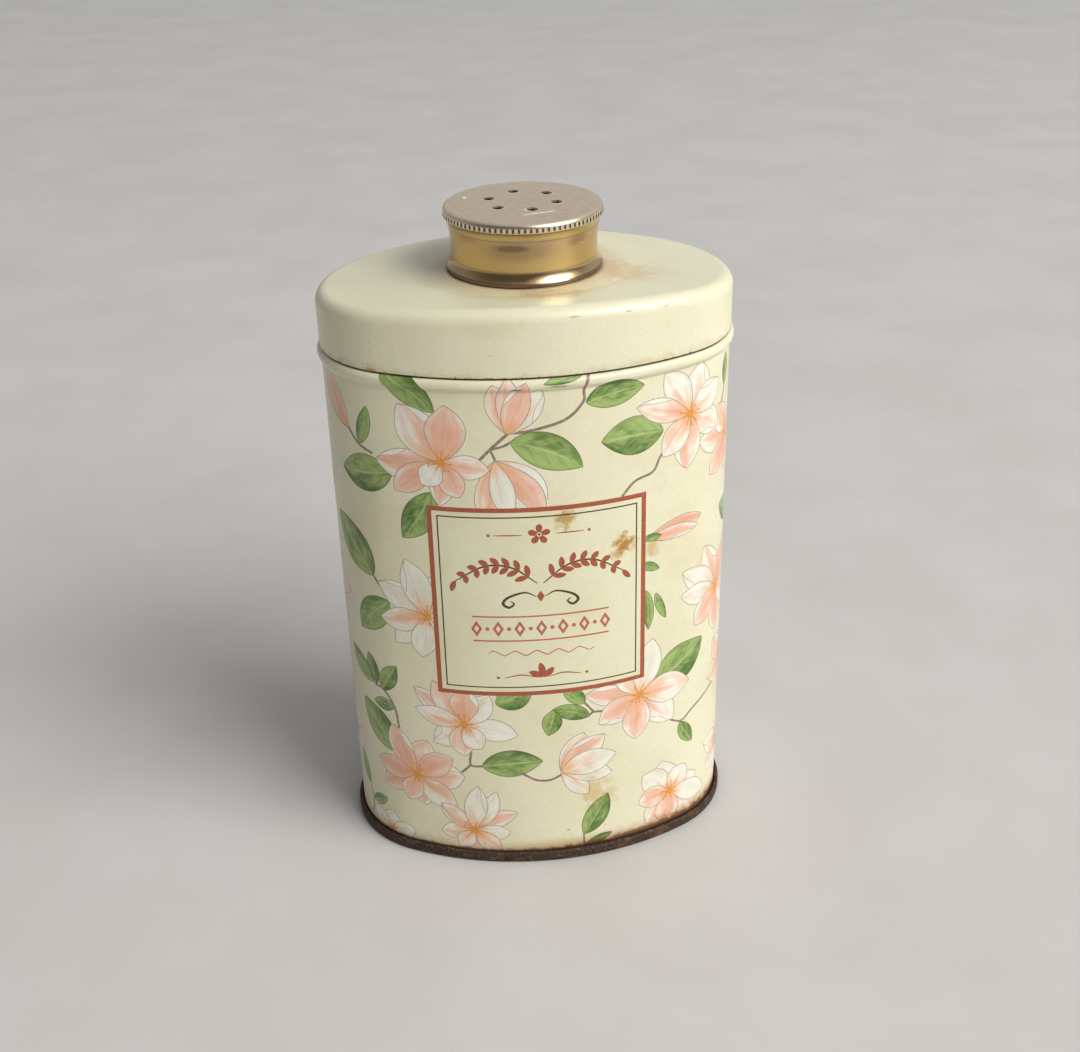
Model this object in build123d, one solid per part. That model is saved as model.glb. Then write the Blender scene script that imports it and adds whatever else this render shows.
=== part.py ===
from build123d import *
import math
import os

# Oval talcum powder tin: a three-piece tinplate can with a slip-on shoulder, and a twist sifter on top.
# Millimetres. The origin is the centre of the base, +Z is up and the printed front faces -Y.
# An "outset" is a distance outwards from the outer surface of the body wall.

# ---- driving dimensions ----

# Plan of the body: two end arcs and two long side arcs, all tangent
BODY_HALF_LENGTH = 41.1
BODY_HALF_DEPTH = 26.25
END_RADIUS = 21.0

# Can
BODY_HEIGHT = 114.2          # standing plane to the shoulder's lower edge
SHEET = 0.30                 # tinplate
LAYER_GAP = 0.08             # between the folded layers of the base seam
SEAM_HEIGHT = 2.45
SEAM_FLAT = 0.1              # straight part across the seam's tight folds
HOOK_END_GAP = 0.12          # body's hook to the roof of the seam
COMPOUND_DEPTH = 0.32        # base's hook to the floor of the seam
STANDING_BEND = 0.45         # centre-line radius at the edges of the standing rim
COUNTERSINK = 3.3            # standing plane to the underside of the base panel
PANEL_STEP = 0.5             # rise of the base's inner panel
PANEL_BORDER = 7.0           # width of the base's lower border
PANEL_BEND = 0.9

# Stop bead and neck of the body
BEAD_PROJECTION = 0.8
BEAD_FOOT_DROP = 2.9         # below the shoulder's lower edge
BEAD_LOW_DROP = 1.9
BEAD_HIGH_DROP = 0.9
BEAD_TOP_DROP = 0.2
BEAD_FOOT_BEND = 0.6
BEAD_BEND = 1.0
NECK_BEND = 0.3
NECK_STEP = 0.15             # how far the neck is rolled in
NECK_HEIGHT = 6.8            # above the shoulder's lower edge

# Lock seam down the middle of the back
LOCK_SEAM_WIDTH = 3.5
LOCK_SEAM_BUILD = 0.6        # extra thickness inside
LOCK_GROOVE_WIDTH = 0.3
LOCK_GROOVE_DEPTH = 0.1
LOCK_END_GAP = 1.0           # seam stops short of the neck's edge and of the base seam

# Shoulder
SHOULDER_HEIGHT = 13.1       # lower edge to the crown of the top
SHOULDER_ARCH = 2.2          # how far the arched top falls towards each end
SHOULDER_CORNER = 2.5        # outside radius of the rounded edge
SHOULDER_CLEARANCE = 0.12    # slip fit over the neck
BOSS_RISE = 0.3              # above the crown
BOSS_GRADE = 6.0             # run over fall of the slope down from the boss
BOSS_FALL = 1.1              # takes the slope's foot under the arched top
BOSS_MARGIN = 1.0            # flat round the sifter
PLUNGE_DEPTH = 1.6
PLUNGE_BEND = 0.5

# Sifter shell, anodised aluminium
WAIST_RADIUS = 14.35
FOOT_FLARE = 0.95            # foot radius beyond the waist
CREASE_FLARE = 0.4           # upper crease radius beyond the waist
KNURL_FLARE = 1.25           # knurled rim radius beyond the waist
SHELL_SHEET = 0.35
SHELL_HEIGHT = 12.2
LIP_HEIGHT = 0.55
FOOT_HEIGHT = 2.6            # lip and flare
WAIST_HEIGHT = 4.8
CREASE_HEIGHT = 8.6
CREASE_STEP = 0.08
KNURL_LOW = 10.4
KNURL_MARGIN = 0.15          # plain edge below the grooves
KNURL_HEIGHT = 0.8
RIM_BEND = 0.9               # rounded edge between knurl and disc
DOME_RISE = 0.4
KNURL_TEETH = 88
KNURL_DEPTH = 0.2
KNURL_GROOVE_SHARE = 0.45    # of the pitch
DIMPLE_RADIUS = 0.55
DIMPLE_DEPTH = 0.15
DIMPLE_RING = 11.8
DIMPLE_ANGLE = 157.0

# Sifter holes, in line through the shell and the liner, and between them in the plug when shut
HOLE_COUNT = 6
HOLE_DIAMETER = 2.2
HOLE_RING = 6.7
HOLE_ANGLE = 40.5

# Rotor liner and neck plug, polythene
LINER_WALL = 1.1
LINER_TOP = 1.2
LINER_RIM = 0.4              # collar above the waist
LINER_RIM_HEIGHT = 1.0
LINER_TOP_GAP = 0.3          # below the shell's disc
TOWER_WALL = 1.25
TOWER_TOP = 1.2
SNAP_BEAD = 0.3
SNAP_BEAD_HEIGHT = 0.6
FLANGE_THICKNESS = 0.8
FLANGE_MARGIN = 0.35         # inside the shell's waist
SPIGOT_STEP = 0.55           # spigot radius below the tower's
BARB_HEIGHT = 0.9
BARB = 0.5
SPIGOT_TIP = 0.4
STOP_WIDTH = 9.0             # degrees
STOP_HEIGHT = 1.4
STOP_ANGLE = 90.0
TWIST = 30.0                 # degrees from shut to open

# Clearances
RUNNING_CLEARANCE = 0.08     # radial, liner on tower
STOP_CLEARANCE = 0.5         # degrees at each end of the twist
FACE_CLEARANCE = 0.1
PLASTIC_FIT = 0.05
SHELL_LIFT = 0.2             # shell above the boss

# ---- derived sizes ----

SIDE_RADIUS = (
    (BODY_HALF_LENGTH - END_RADIUS) ** 2 + BODY_HALF_DEPTH**2 - END_RADIUS**2
) / (2 * (BODY_HALF_DEPTH - END_RADIUS))

LAYER = SHEET + LAYER_GAP
WALL_LINE = -SHEET / 2                      # centre lines of the seam's layers, as outsets
COVER_HOOK_LINE = WALL_LINE + LAYER
BODY_HOOK_LINE = WALL_LINE + 2 * LAYER
SEAM_LINE = WALL_LINE + 3 * LAYER
CHUCK_LINE = WALL_LINE - LAYER
SEAM_FLOOR = SHEET / 2                      # centre line of the standing rim
BODY_FLOOR = SEAM_FLOOR + LAYER             # centre line of the body's lower fold
SEAM_ROOF = SEAM_HEIGHT - SHEET / 2
SEAM_BEND = LAYER - SEAM_FLAT / 2           # centre-line radius of the seam's tight folds
COMPOUND_FLOOR = BODY_FLOOR + SHEET / 2

NECK_LINE = WALL_LINE - NECK_STEP
NECK_TOP = BODY_HEIGHT + NECK_HEIGHT
SKIRT_LINE = -NECK_STEP + SHOULDER_CLEARANCE + SHEET / 2
TOP_Z = BODY_HEIGHT + SHOULDER_HEIGHT       # crown of the shoulder, outside
BOSS_TOP = TOP_Z + BOSS_RISE

FOOT_RADIUS = WAIST_RADIUS + FOOT_FLARE
CREASE_RADIUS = WAIST_RADIUS + CREASE_FLARE
KNURL_RADIUS = WAIST_RADIUS + KNURL_FLARE
BOSS_RADIUS = FOOT_RADIUS + BOSS_MARGIN
ARCH_RADIUS = (BODY_HALF_LENGTH**2 + SHOULDER_ARCH**2) / (2 * SHOULDER_ARCH)
SHELL_FOOT = BOSS_TOP + SHELL_LIFT
SHELL_RIM = SHELL_FOOT + SHELL_HEIGHT

LINER_RADIUS = WAIST_RADIUS - SHELL_SHEET - PLASTIC_FIT
LINER_BORE = LINER_RADIUS - LINER_WALL
LINER_ROOF = SHELL_RIM - SHELL_SHEET - LINER_TOP_GAP
LINER_CEILING = LINER_ROOF - LINER_TOP
TOWER_RADIUS = LINER_BORE - RUNNING_CLEARANCE
TOWER_BORE = TOWER_RADIUS - TOWER_WALL
TOWER_ROOF = LINER_CEILING - RUNNING_CLEARANCE
FLANGE_FLOOR = BOSS_TOP + PLASTIC_FIT
FLANGE_ROOF = FLANGE_FLOOR + FLANGE_THICKNESS
LINER_FOOT = FLANGE_ROOF + FACE_CLEARANCE
SNAP_BEAD_Z = (LINER_FOOT + LINER_CEILING) / 2
SPIGOT_RADIUS = TOWER_RADIUS - SPIGOT_STEP
NECK_HOLE_RADIUS = SPIGOT_RADIUS + PLASTIC_FIT
PLUNGE_EDGE = BOSS_TOP - PLUNGE_DEPTH
BARB_ROOF = PLUNGE_EDGE - PLASTIC_FIT
PLUG_FOOT = BARB_ROOF - BARB_HEIGHT - SPIGOT_TIP

# ---- helpers ----


def oval_arcs():
    """Centre, radius, middle angle and half turn of each arc of the plan, in degrees."""
    end_x = BODY_HALF_LENGTH - END_RADIUS
    side_y = SIDE_RADIUS - BODY_HALF_DEPTH
    end_half = math.degrees(math.atan2(side_y, end_x))
    return [
        ((end_x, 0), END_RADIUS, 0, end_half),
        ((0, -side_y), SIDE_RADIUS, 90, 90 - end_half),
        ((-end_x, 0), END_RADIUS, 180, end_half),
        ((0, side_y), SIDE_RADIUS, 270, 90 - end_half),
    ]


def turn_section(section, centre, radius, middle, half_turn):
    """Revolve an (outset, height) section round one arc of the plan."""
    start = math.radians(middle - half_turn)
    outwards = (math.cos(start), math.sin(start), 0)
    sideways = (math.sin(start), -math.cos(start), 0)
    plane = Plane(origin=(*centre, 0), x_dir=outwards, z_dir=sideways)
    placed = plane.location * Pos(radius, 0) * section
    return revolve(placed, Axis((*centre, 0), (0, 0, 1)), 2 * half_turn)


def oval_ring(section):
    """An (outset, height) section taken all round the plan."""
    pieces = [turn_section(section, *arc) for arc in oval_arcs()]
    return pieces[0] + pieces[1:]


def oval_plate(outset, low, high):
    """Flat plate with the plan's outline moved out by the outset."""
    edges = [
        CenterArc(centre, radius + outset, middle - half_turn, 2 * half_turn)
        for centre, radius, middle, half_turn in oval_arcs()
    ]
    return extrude(Pos(0, 0, low) * make_face(edges), high - low)


def spin(section):
    """Revolve a (radius, height) section round the tin's axis."""
    return revolve(Plane.XZ.location * section, Axis.Z, 360)


def bent_sheet(points, bends, thickness=SHEET):
    """Section of a sheet whose centre line runs through the points; its two edges are rounded."""
    centre_line = FilletPolyline(*points, radius=bends)
    return make_face(offset(centre_line, thickness / 2, side=Side.BOTH))


def rectangle(left, right, low, high):
    return Pos((left + right) / 2, (low + high) / 2) * Rectangle(right - left, high - low)


def ring_sector(inner, outer, low, high, middle, width):
    """Part of an upright tube, from its radii, heights and angles in degrees."""
    start = math.radians(middle - width / 2)
    plane = Plane(
        origin=(0, 0, 0),
        x_dir=(math.cos(start), math.sin(start), 0),
        z_dir=(math.sin(start), -math.cos(start), 0),
    )
    return revolve(plane.location * rectangle(inner, outer, low, high), Axis.Z, width)


def hole_pins(low, high, turned=0.0):
    """Cutters for the ring of sifter holes."""
    return [
        Rot(0, 0, HOLE_ANGLE + turned + 360 / HOLE_COUNT * i)
        * Pos(HOLE_RING, 0, (low + high) / 2)
        * Cylinder(HOLE_DIAMETER / 2, high - low)
        for i in range(HOLE_COUNT)
    ]


# ---- pieces of the can ----


def make_body_shell():
    """Tinplate wall with its lower hook, stop bead, neck and lock seam."""
    bead_line = BEAD_PROJECTION - SHEET / 2
    section = bent_sheet(
        [
            (BODY_HOOK_LINE, SEAM_ROOF - SHEET - HOOK_END_GAP),
            (BODY_HOOK_LINE, BODY_FLOOR),
            (WALL_LINE, BODY_FLOOR),
            (WALL_LINE, BODY_HEIGHT - BEAD_FOOT_DROP),
            (bead_line, BODY_HEIGHT - BEAD_LOW_DROP),
            (bead_line, BODY_HEIGHT - BEAD_HIGH_DROP),
            (NECK_LINE, BODY_HEIGHT - BEAD_TOP_DROP),
            (NECK_LINE, NECK_TOP - SHEET / 2),
        ],
        [SEAM_BEND, SEAM_BEND, BEAD_FOOT_BEND, BEAD_BEND, BEAD_BEND, NECK_BEND],
    )
    shell = oval_ring(section)
    back_centre, back_radius, back_middle, _ = oval_arcs()[1]

    def back_strip(inner, outer, width, low, high):
        half_turn = math.degrees(width / 2 / back_radius)
        section = rectangle(inner, outer, low, high)
        return turn_section(section, back_centre, back_radius, back_middle, half_turn)

    inside = -SHEET - NECK_STEP
    lap = back_strip(
        inside - LOCK_SEAM_BUILD,
        WALL_LINE - NECK_STEP,
        LOCK_SEAM_WIDTH,
        COUNTERSINK + SHEET + PANEL_STEP + LOCK_END_GAP,
        NECK_TOP - LOCK_END_GAP,
    )
    bridge = back_strip(
        inside,
        WALL_LINE,
        LOCK_SEAM_WIDTH,
        COUNTERSINK + SHEET + PANEL_STEP + LOCK_END_GAP,
        BODY_HEIGHT - BEAD_FOOT_DROP,
    )
    groove = back_strip(
        -LOCK_GROOVE_DEPTH,
        LOCK_GROOVE_DEPTH,
        LOCK_GROOVE_WIDTH,
        SEAM_HEIGHT + LOCK_END_GAP,
        BODY_HEIGHT - BEAD_FOOT_DROP - LOCK_END_GAP,
    )
    return shell + lap + bridge - groove


def make_base_end():
    """Countersunk bottom, folded over the body's hook."""
    panel_line = COUNTERSINK + SHEET / 2
    step_outset = CHUCK_LINE - PANEL_BORDER
    rim = bent_sheet(
        [
            (step_outset - 2 * PANEL_BEND, panel_line + PANEL_STEP),
            (step_outset, panel_line + PANEL_STEP),
            (step_outset + PANEL_BEND, panel_line),
            (CHUCK_LINE, panel_line),
            (CHUCK_LINE, SEAM_FLOOR),
            (SEAM_LINE, SEAM_FLOOR),
            (SEAM_LINE, SEAM_ROOF),
            (COVER_HOOK_LINE, SEAM_ROOF),
            (COVER_HOOK_LINE, COMPOUND_FLOOR + COMPOUND_DEPTH + SHEET / 2),
        ],
        [PANEL_BEND, PANEL_BEND, PANEL_BEND, STANDING_BEND, STANDING_BEND, SEAM_BEND, SEAM_BEND],
    )
    panel_low = COUNTERSINK + PANEL_STEP
    return oval_ring(rim) + oval_plate(step_outset - 2 * PANEL_BEND, panel_low, panel_low + SHEET)


def make_seam_compound():
    """Lining compound squeezed under the base's hook, inside the seam."""
    bead_radius = (COMPOUND_DEPTH - LAYER_GAP) / 2
    bead_z = COMPOUND_FLOOR + COMPOUND_DEPTH / 2
    return oval_ring(Pos(COVER_HOOK_LINE, bead_z) * Circle(bead_radius))


def shoulder_block(inset):
    """The shoulder's outside moved in by the inset, filled: arched top, rounded edge and boss."""
    outset = SKIRT_LINE + SHEET / 2 - inset
    block = oval_plate(outset, BODY_HEIGHT, TOP_Z + BOSS_RISE)
    arch = Pos(0, 0, TOP_Z - inset - ARCH_RADIUS) * Rot(90, 0, 0)
    block = block & (arch * Cylinder(ARCH_RADIUS, 4 * BODY_HALF_DEPTH))
    rim = block.edges().filter_by_position(Axis.Z, BODY_HEIGHT + SHOULDER_HEIGHT / 2, TOP_Z + BOSS_RISE)
    block = fillet(rim, SHOULDER_CORNER - inset)
    boss = Cone(BOSS_RADIUS + BOSS_GRADE * BOSS_FALL, BOSS_RADIUS, BOSS_FALL)
    return block + Pos(0, 0, BOSS_TOP - inset - BOSS_FALL / 2) * boss


def make_shoulder_cover():
    """Slip-on top with an arched panel, a rounded edge, a round boss and a plunged neck hole."""
    sheet = shoulder_block(0) - shoulder_block(SHEET)
    hub_radius = BOSS_RADIUS - BOSS_MARGIN / 2
    opening = Pos(0, 0, BOSS_TOP) * Cylinder(hub_radius, 4 * SHEET)
    boss_line = BOSS_TOP - SHEET / 2
    plunge_line = NECK_HOLE_RADIUS + SHEET / 2
    plunge = bent_sheet(
        [
            (hub_radius, boss_line),
            (plunge_line, boss_line),
            (plunge_line, PLUNGE_EDGE + SHEET / 2),
        ],
        [PLUNGE_BEND],
    )
    return sheet - opening + spin(plunge)


# ---- pieces of the sifter ----


def make_neck_plug():
    """Polythene fitment in the neck hole: snap barb, flange, tower, sieve plate and stop rib."""
    bead_half = SNAP_BEAD_HEIGHT / 2
    outline = Polyline(
        (0, TOWER_ROOF - TOWER_TOP),
        (TOWER_BORE, TOWER_ROOF - TOWER_TOP),
        (TOWER_BORE, PLUG_FOOT),
        (SPIGOT_RADIUS, PLUG_FOOT),
        (SPIGOT_RADIUS + BARB, BARB_ROOF - BARB_HEIGHT / 2),
        (SPIGOT_RADIUS + BARB, BARB_ROOF),
        (SPIGOT_RADIUS, BARB_ROOF),
        (SPIGOT_RADIUS, FLANGE_FLOOR),
        (WAIST_RADIUS - FLANGE_MARGIN, FLANGE_FLOOR),
        (WAIST_RADIUS - FLANGE_MARGIN, FLANGE_ROOF),
        (TOWER_RADIUS, FLANGE_ROOF),
        (TOWER_RADIUS, SNAP_BEAD_Z - SNAP_BEAD_HEIGHT),
        (TOWER_RADIUS + SNAP_BEAD, SNAP_BEAD_Z - bead_half),
        (TOWER_RADIUS + SNAP_BEAD, SNAP_BEAD_Z + bead_half),
        (TOWER_RADIUS, SNAP_BEAD_Z + SNAP_BEAD_HEIGHT),
        (TOWER_RADIUS, TOWER_ROOF),
        (0, TOWER_ROOF),
        close=True,
    )
    rib = ring_sector(
        TOWER_RADIUS - TOWER_WALL / 2,
        LINER_RADIUS - PLASTIC_FIT,
        FLANGE_FLOOR + FLANGE_THICKNESS / 2,
        FLANGE_ROOF + STOP_HEIGHT,
        STOP_ANGLE,
        STOP_WIDTH,
    )
    shut_offset = 180 / HOLE_COUNT
    holes = hole_pins(TOWER_ROOF - TOWER_TOP - 1, TOWER_ROOF + 1, shut_offset)
    return spin(make_face(outline)) + rib - holes


def make_rotor_liner():
    """Polythene cup that turns on the plug's tower and carries the shell."""
    bead_half = SNAP_BEAD_HEIGHT / 2 + FACE_CLEARANCE
    groove_depth = SNAP_BEAD
    outline = Polyline(
        (0, LINER_ROOF),
        (LINER_RADIUS + LINER_RIM, LINER_ROOF),
        (LINER_RADIUS + LINER_RIM, LINER_ROOF - LINER_RIM_HEIGHT),
        (LINER_RADIUS, LINER_ROOF - LINER_RIM_HEIGHT - LINER_RIM),
        (LINER_RADIUS, LINER_FOOT),
        (LINER_BORE, LINER_FOOT),
        (LINER_BORE, SNAP_BEAD_Z - bead_half - groove_depth),
        (LINER_BORE + groove_depth, SNAP_BEAD_Z - bead_half),
        (LINER_BORE + groove_depth, SNAP_BEAD_Z + bead_half),
        (LINER_BORE, SNAP_BEAD_Z + bead_half + groove_depth),
        (LINER_BORE, LINER_CEILING),
        (0, LINER_CEILING),
        close=True,
    )
    # Shut, the plug's rib stands at the far end of this notch; opening turns the notch past it.
    notch_width = STOP_WIDTH + TWIST + 2 * STOP_CLEARANCE
    notch = ring_sector(
        LINER_BORE - LINER_WALL,
        LINER_RADIUS + LINER_WALL,
        LINER_FOOT - FACE_CLEARANCE,
        FLANGE_ROOF + STOP_HEIGHT + FACE_CLEARANCE,
        STOP_ANGLE - TWIST / 2,
        notch_width,
    )
    holes = hole_pins(LINER_CEILING - 1, LINER_ROOF + 1)
    return spin(make_face(outline)) - notch - holes


def shell_profile(inset):
    """Half section of the shell's outside, moved in by the inset, filled to the axis."""
    foot = SHELL_FOOT
    waist_radius = WAIST_RADIUS - inset
    foot_radius = FOOT_RADIUS - inset
    crease_radius = CREASE_RADIUS - inset
    knurl_radius = KNURL_RADIUS - inset
    rim_bend = RIM_BEND - inset
    rim_z = SHELL_RIM - inset
    disc_radius = knurl_radius - rim_bend
    dome_radius = (disc_radius**2 + DOME_RISE**2) / (2 * DOME_RISE)
    dome_turn = math.degrees(math.asin(disc_radius / dome_radius))
    knurl_low = (knurl_radius, foot + KNURL_LOW)
    knurl_high = (knurl_radius, rim_z - rim_bend)
    cove_bulge = (KNURL_FLARE - CREASE_FLARE) / 4
    cove_middle = (crease_radius + cove_bulge, foot + (KNURL_LOW + CREASE_HEIGHT) / 2)
    crease = (crease_radius, foot + CREASE_HEIGHT)
    step = (crease_radius - CREASE_STEP, foot + CREASE_HEIGHT)
    waist = (waist_radius, foot + WAIST_HEIGHT)
    flare_top = (waist_radius + CREASE_STEP, foot + FOOT_HEIGHT)
    flare_middle = (waist_radius + FOOT_FLARE / 3, foot + (FOOT_HEIGHT + LIP_HEIGHT) / 2)
    lip_top = (foot_radius, foot + LIP_HEIGHT)
    lip = (foot_radius, foot)
    return make_face(
        [
            CenterArc((0, rim_z + DOME_RISE - dome_radius), dome_radius, 90 - dome_turn, dome_turn),
            CenterArc((disc_radius, rim_z - rim_bend), rim_bend, 0, 90),
            Line(knurl_high, knurl_low),
            ThreePointArc(knurl_low, cove_middle, crease),
            Line(crease, step),
            ThreePointArc(step, waist, flare_top),
            ThreePointArc(flare_top, flare_middle, lip_top),
            Line(lip_top, lip),
            Line(lip, (0, foot)),
            Line((0, foot), (0, rim_z + DOME_RISE)),
        ]
    )


def make_sifter_shell():
    """Anodised aluminium cap with a knurled rim, a waist and a flared foot."""
    cap = spin(shell_profile(0) - shell_profile(SHELL_SHEET))
    knurl_floor = SHELL_FOOT + KNURL_LOW + KNURL_MARGIN
    groove_width = KNURL_GROOVE_SHARE * 2 * math.pi * KNURL_RADIUS / KNURL_TEETH
    grooves = [
        Rot(0, 0, 360 / KNURL_TEETH * i)
        * Pos(KNURL_RADIUS, 0, knurl_floor + KNURL_HEIGHT / 2)
        * Box(2 * KNURL_DEPTH, groove_width, KNURL_HEIGHT)
        for i in range(KNURL_TEETH)
    ]
    holes = hole_pins(LINER_ROOF, SHELL_RIM + 1)
    dimple_z = SHELL_RIM + DOME_RISE * (1 - (DIMPLE_RING / KNURL_RADIUS) ** 2)
    dimple_ball = (DIMPLE_RADIUS**2 + DIMPLE_DEPTH**2) / (2 * DIMPLE_DEPTH)
    dimple = (
        Rot(0, 0, DIMPLE_ANGLE)
        * Pos(DIMPLE_RING, 0, dimple_z + dimple_ball - DIMPLE_DEPTH)
        * Sphere(dimple_ball)
    )
    return cap - grooves - holes - dimple


# ---- the whole tin ----

PIECES = {
    "body_shell": make_body_shell,
    "base_end": make_base_end,
    "seam_compound": make_seam_compound,
    "shoulder_cover": make_shoulder_cover,
    "neck_plug": make_neck_plug,
    "rotor_liner": make_rotor_liner,
    "sifter_shell": make_sifter_shell,
}

os.makedirs("parts", exist_ok=True)
for name, make_piece in PIECES.items():
    piece = make_piece()
    piece.label = name
    export_step(piece, f"parts/{name}.step")
    print(name, "solids", len(piece.solids()), "volume", round(piece.volume, 2))
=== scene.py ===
import bisect
import math
import random

import bpy
from mathutils import Matrix, Vector
from mathutils.geometry import delaunay_2d_cdt


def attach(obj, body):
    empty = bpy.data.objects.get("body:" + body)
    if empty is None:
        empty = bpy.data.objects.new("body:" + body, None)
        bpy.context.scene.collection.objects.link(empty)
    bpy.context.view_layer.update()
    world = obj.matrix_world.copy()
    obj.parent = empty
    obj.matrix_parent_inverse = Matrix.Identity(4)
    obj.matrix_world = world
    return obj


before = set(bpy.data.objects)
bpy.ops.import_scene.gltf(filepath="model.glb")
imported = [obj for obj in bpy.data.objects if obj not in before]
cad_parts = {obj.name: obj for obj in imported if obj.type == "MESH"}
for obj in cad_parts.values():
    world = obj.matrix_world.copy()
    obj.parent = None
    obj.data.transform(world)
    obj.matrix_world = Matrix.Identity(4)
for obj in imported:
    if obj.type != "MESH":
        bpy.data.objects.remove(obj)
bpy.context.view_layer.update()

# Looks of the oval talcum tin. Sizes here are in millimetres until they reach Blender, which is in metres.
# A place on the printed wall is (run, height): the run goes round the plan from the middle of the front,
# positive towards +X.

MM = 0.001
DETAIL = 1

# ---- plan and wall of the tin ----

HALF_LENGTH = 41.1
HALF_DEPTH = 26.25
END_RADIUS = 21.0
END_X = HALF_LENGTH - END_RADIUS
SIDE_RADIUS = (END_X**2 + HALF_DEPTH**2 - END_RADIUS**2) / (2 * (HALF_DEPTH - END_RADIUS))
SIDE_TURN = math.asin(END_X / (SIDE_RADIUS - END_RADIUS))
SIDE_RUN = SIDE_RADIUS * SIDE_TURN
END_RUN = SIDE_RUN + END_RADIUS * (math.pi - 2 * SIDE_TURN)
HALF_ROUND = END_RUN + SIDE_RUN

SKIRT_Z = 114.2              # shoulder's lower edge
SHEET = 0.3
INK = 0.04                   # thickness of the printed skin
PRINT_FOOT = 1.7             # inside the base seam
PRINT_TOP = 113.9            # behind the shoulder's lower edge
BARE_STRIP = 0.6             # half width of the unprinted strip at the back seam

# centre line of the wall as (outset, height, bend)
WALL = [
    (-0.15, 0.0, 0.0),
    (-0.15, SKIRT_Z - 2.9, 0.6),
    (0.65, SKIRT_Z - 1.9, 1.0),
    (0.65, SKIRT_Z - 0.9, 1.0),
    (-0.3, SKIRT_Z - 0.2, 0.3),
    (-0.3, SKIRT_Z + 3.0, 0.0),
]


def plan_point(run, outset):
    """Point and outward direction at a run round the plan."""
    side = 1 if run >= 0 else -1
    run = abs(run)
    if run < SIDE_RUN:
        turn, radius, centre = run / SIDE_RADIUS, SIDE_RADIUS, (0, SIDE_RADIUS - HALF_DEPTH)
    elif run < END_RUN:
        turn, radius, centre = SIDE_TURN + (run - SIDE_RUN) / END_RADIUS, END_RADIUS, (END_X, 0)
    else:
        turn = math.pi - (HALF_ROUND - run) / SIDE_RADIUS
        radius, centre = SIDE_RADIUS, (0, HALF_DEPTH - SIDE_RADIUS)
    out = (math.sin(turn), -math.cos(turn))
    reach = radius + outset
    return side * (centre[0] + reach * out[0]), centre[1] + reach * out[1], side * out[0], out[1]


def wall_profile(lift):
    """Rows (height, outset, outward, upward) of a surface lifted off the wall's centre line."""
    rows = []
    for before, here, after in zip(WALL, WALL[1:], WALL[2:]):
        into = Vector((here[0] - before[0], here[1] - before[1])).normalized()
        away = Vector((after[0] - here[0], after[1] - here[1])).normalized()
        turn = into.angle_signed(away)           # clockwise is positive
        start = Vector(here[:2]) - into * here[2] * math.tan(abs(turn) / 2)
        side = 1 if turn < 0 else -1             # which side the bend's centre is on
        centre = start + Vector((-into.y, into.x)) * here[2] * side
        if not rows:
            rows.append((before[1], before[0] + lift, 1.0, 0.0))
        steps = max(2, round(abs(math.degrees(turn)) / 8))
        for i in range(steps + 1):
            angle = -turn * i / steps
            ray = Matrix.Rotation(angle, 2) @ (start - centre)
            normal = ray.normalized() * side
            point = centre + ray + normal * lift
            rows.append((point.y, point.x, normal.x, normal.y))
    return rows


SKIN = wall_profile(SHEET / 2 + INK)
SKIN_HEIGHTS = [row[0] for row in SKIN]


def skin_row(height):
    """Outset and the two parts of the normal at a height of the printed skin."""
    i = min(max(bisect.bisect(SKIN_HEIGHTS, height), 1), len(SKIN) - 1)
    low, high = SKIN[i - 1], SKIN[i]
    share = (height - low[0]) / (high[0] - low[0])
    return [a + (b - a) * share for a, b in zip(low[1:], high[1:])]


def placed(name, data):
    """New object in the scene."""
    thing = bpy.data.objects.new(name, data)
    bpy.context.scene.collection.objects.link(thing)
    return thing


# ---- drawing on the wall ----


def area(outline):
    return sum(a[0] * b[1] - b[0] * a[1] for a, b in zip(outline, outline[1:] + outline[:1])) / 2


def grown(outline, margin):
    """The outline moved outwards by the margin."""
    moved = []
    count = len(outline)
    for i, here in enumerate(outline):
        before, after = Vector(outline[i - 1]), Vector(outline[(i + 1) % count])
        along = (after - before).normalized()
        moved.append((here[0] + along.y * margin, here[1] - along.x * margin))
    return moved


def divided(outline, step=0.8, closed=True):
    """The same line with no step longer than the given one."""
    points = []
    ends = outline[1:] + outline[:1] if closed else outline[1:]
    for a, b in zip(outline, ends):
        parts = max(1, math.ceil(math.dist(a, b) / step))
        points += [(a[0] + (b[0] - a[0]) * i / parts, a[1] + (b[1] - a[1]) * i / parts) for i in range(parts)]
    return points if closed else points + [outline[-1]]


def smooth(points, parts=6):
    """A curve through the points."""
    if len(points) < 3:
        return divided(list(points), 0.8, False)
    p = [Vector(q) for q in points]
    p = [2 * p[0] - p[1]] + p + [2 * p[-1] - p[-2]]
    curve = []
    for a, b, c, d in zip(p, p[1:], p[2:], p[3:]):
        for i in range(parts):
            t = i / parts
            q = 2 * b + (c - a) * t + (2 * a - 5 * b + 4 * c - d) * t**2 + (3 * b - a - 3 * c + d) * t**3
            curve.append(tuple(q / 2))
    return curve + [tuple(p[-2])]


class Shape:
    """An inked area: its kind, outline, and the picture coordinates its ink follows."""

    def __init__(self, kind, outline, find=None, seed=0.0, wash=(0.0, 0.0, 0.0)):
        self.kind = kind
        self.outline = outline if area(outline) > 0 else outline[::-1]
        self.find = find or (lambda run, height: (0.0, 0.0))
        self.seed = seed
        self.wash = wash
        self.home = outline[0][0]        # run of the motif it belongs to

    def moved(self, shift):
        """The same shape further round the tin."""
        copy = Shape(
            self.kind,
            [(x + shift, y) for x, y in self.outline],
            lambda run, height: self.find(run - shift, height),
            self.seed + shift / 97,
            self.wash,
        )
        copy.home = self.home + shift
        return copy


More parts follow.
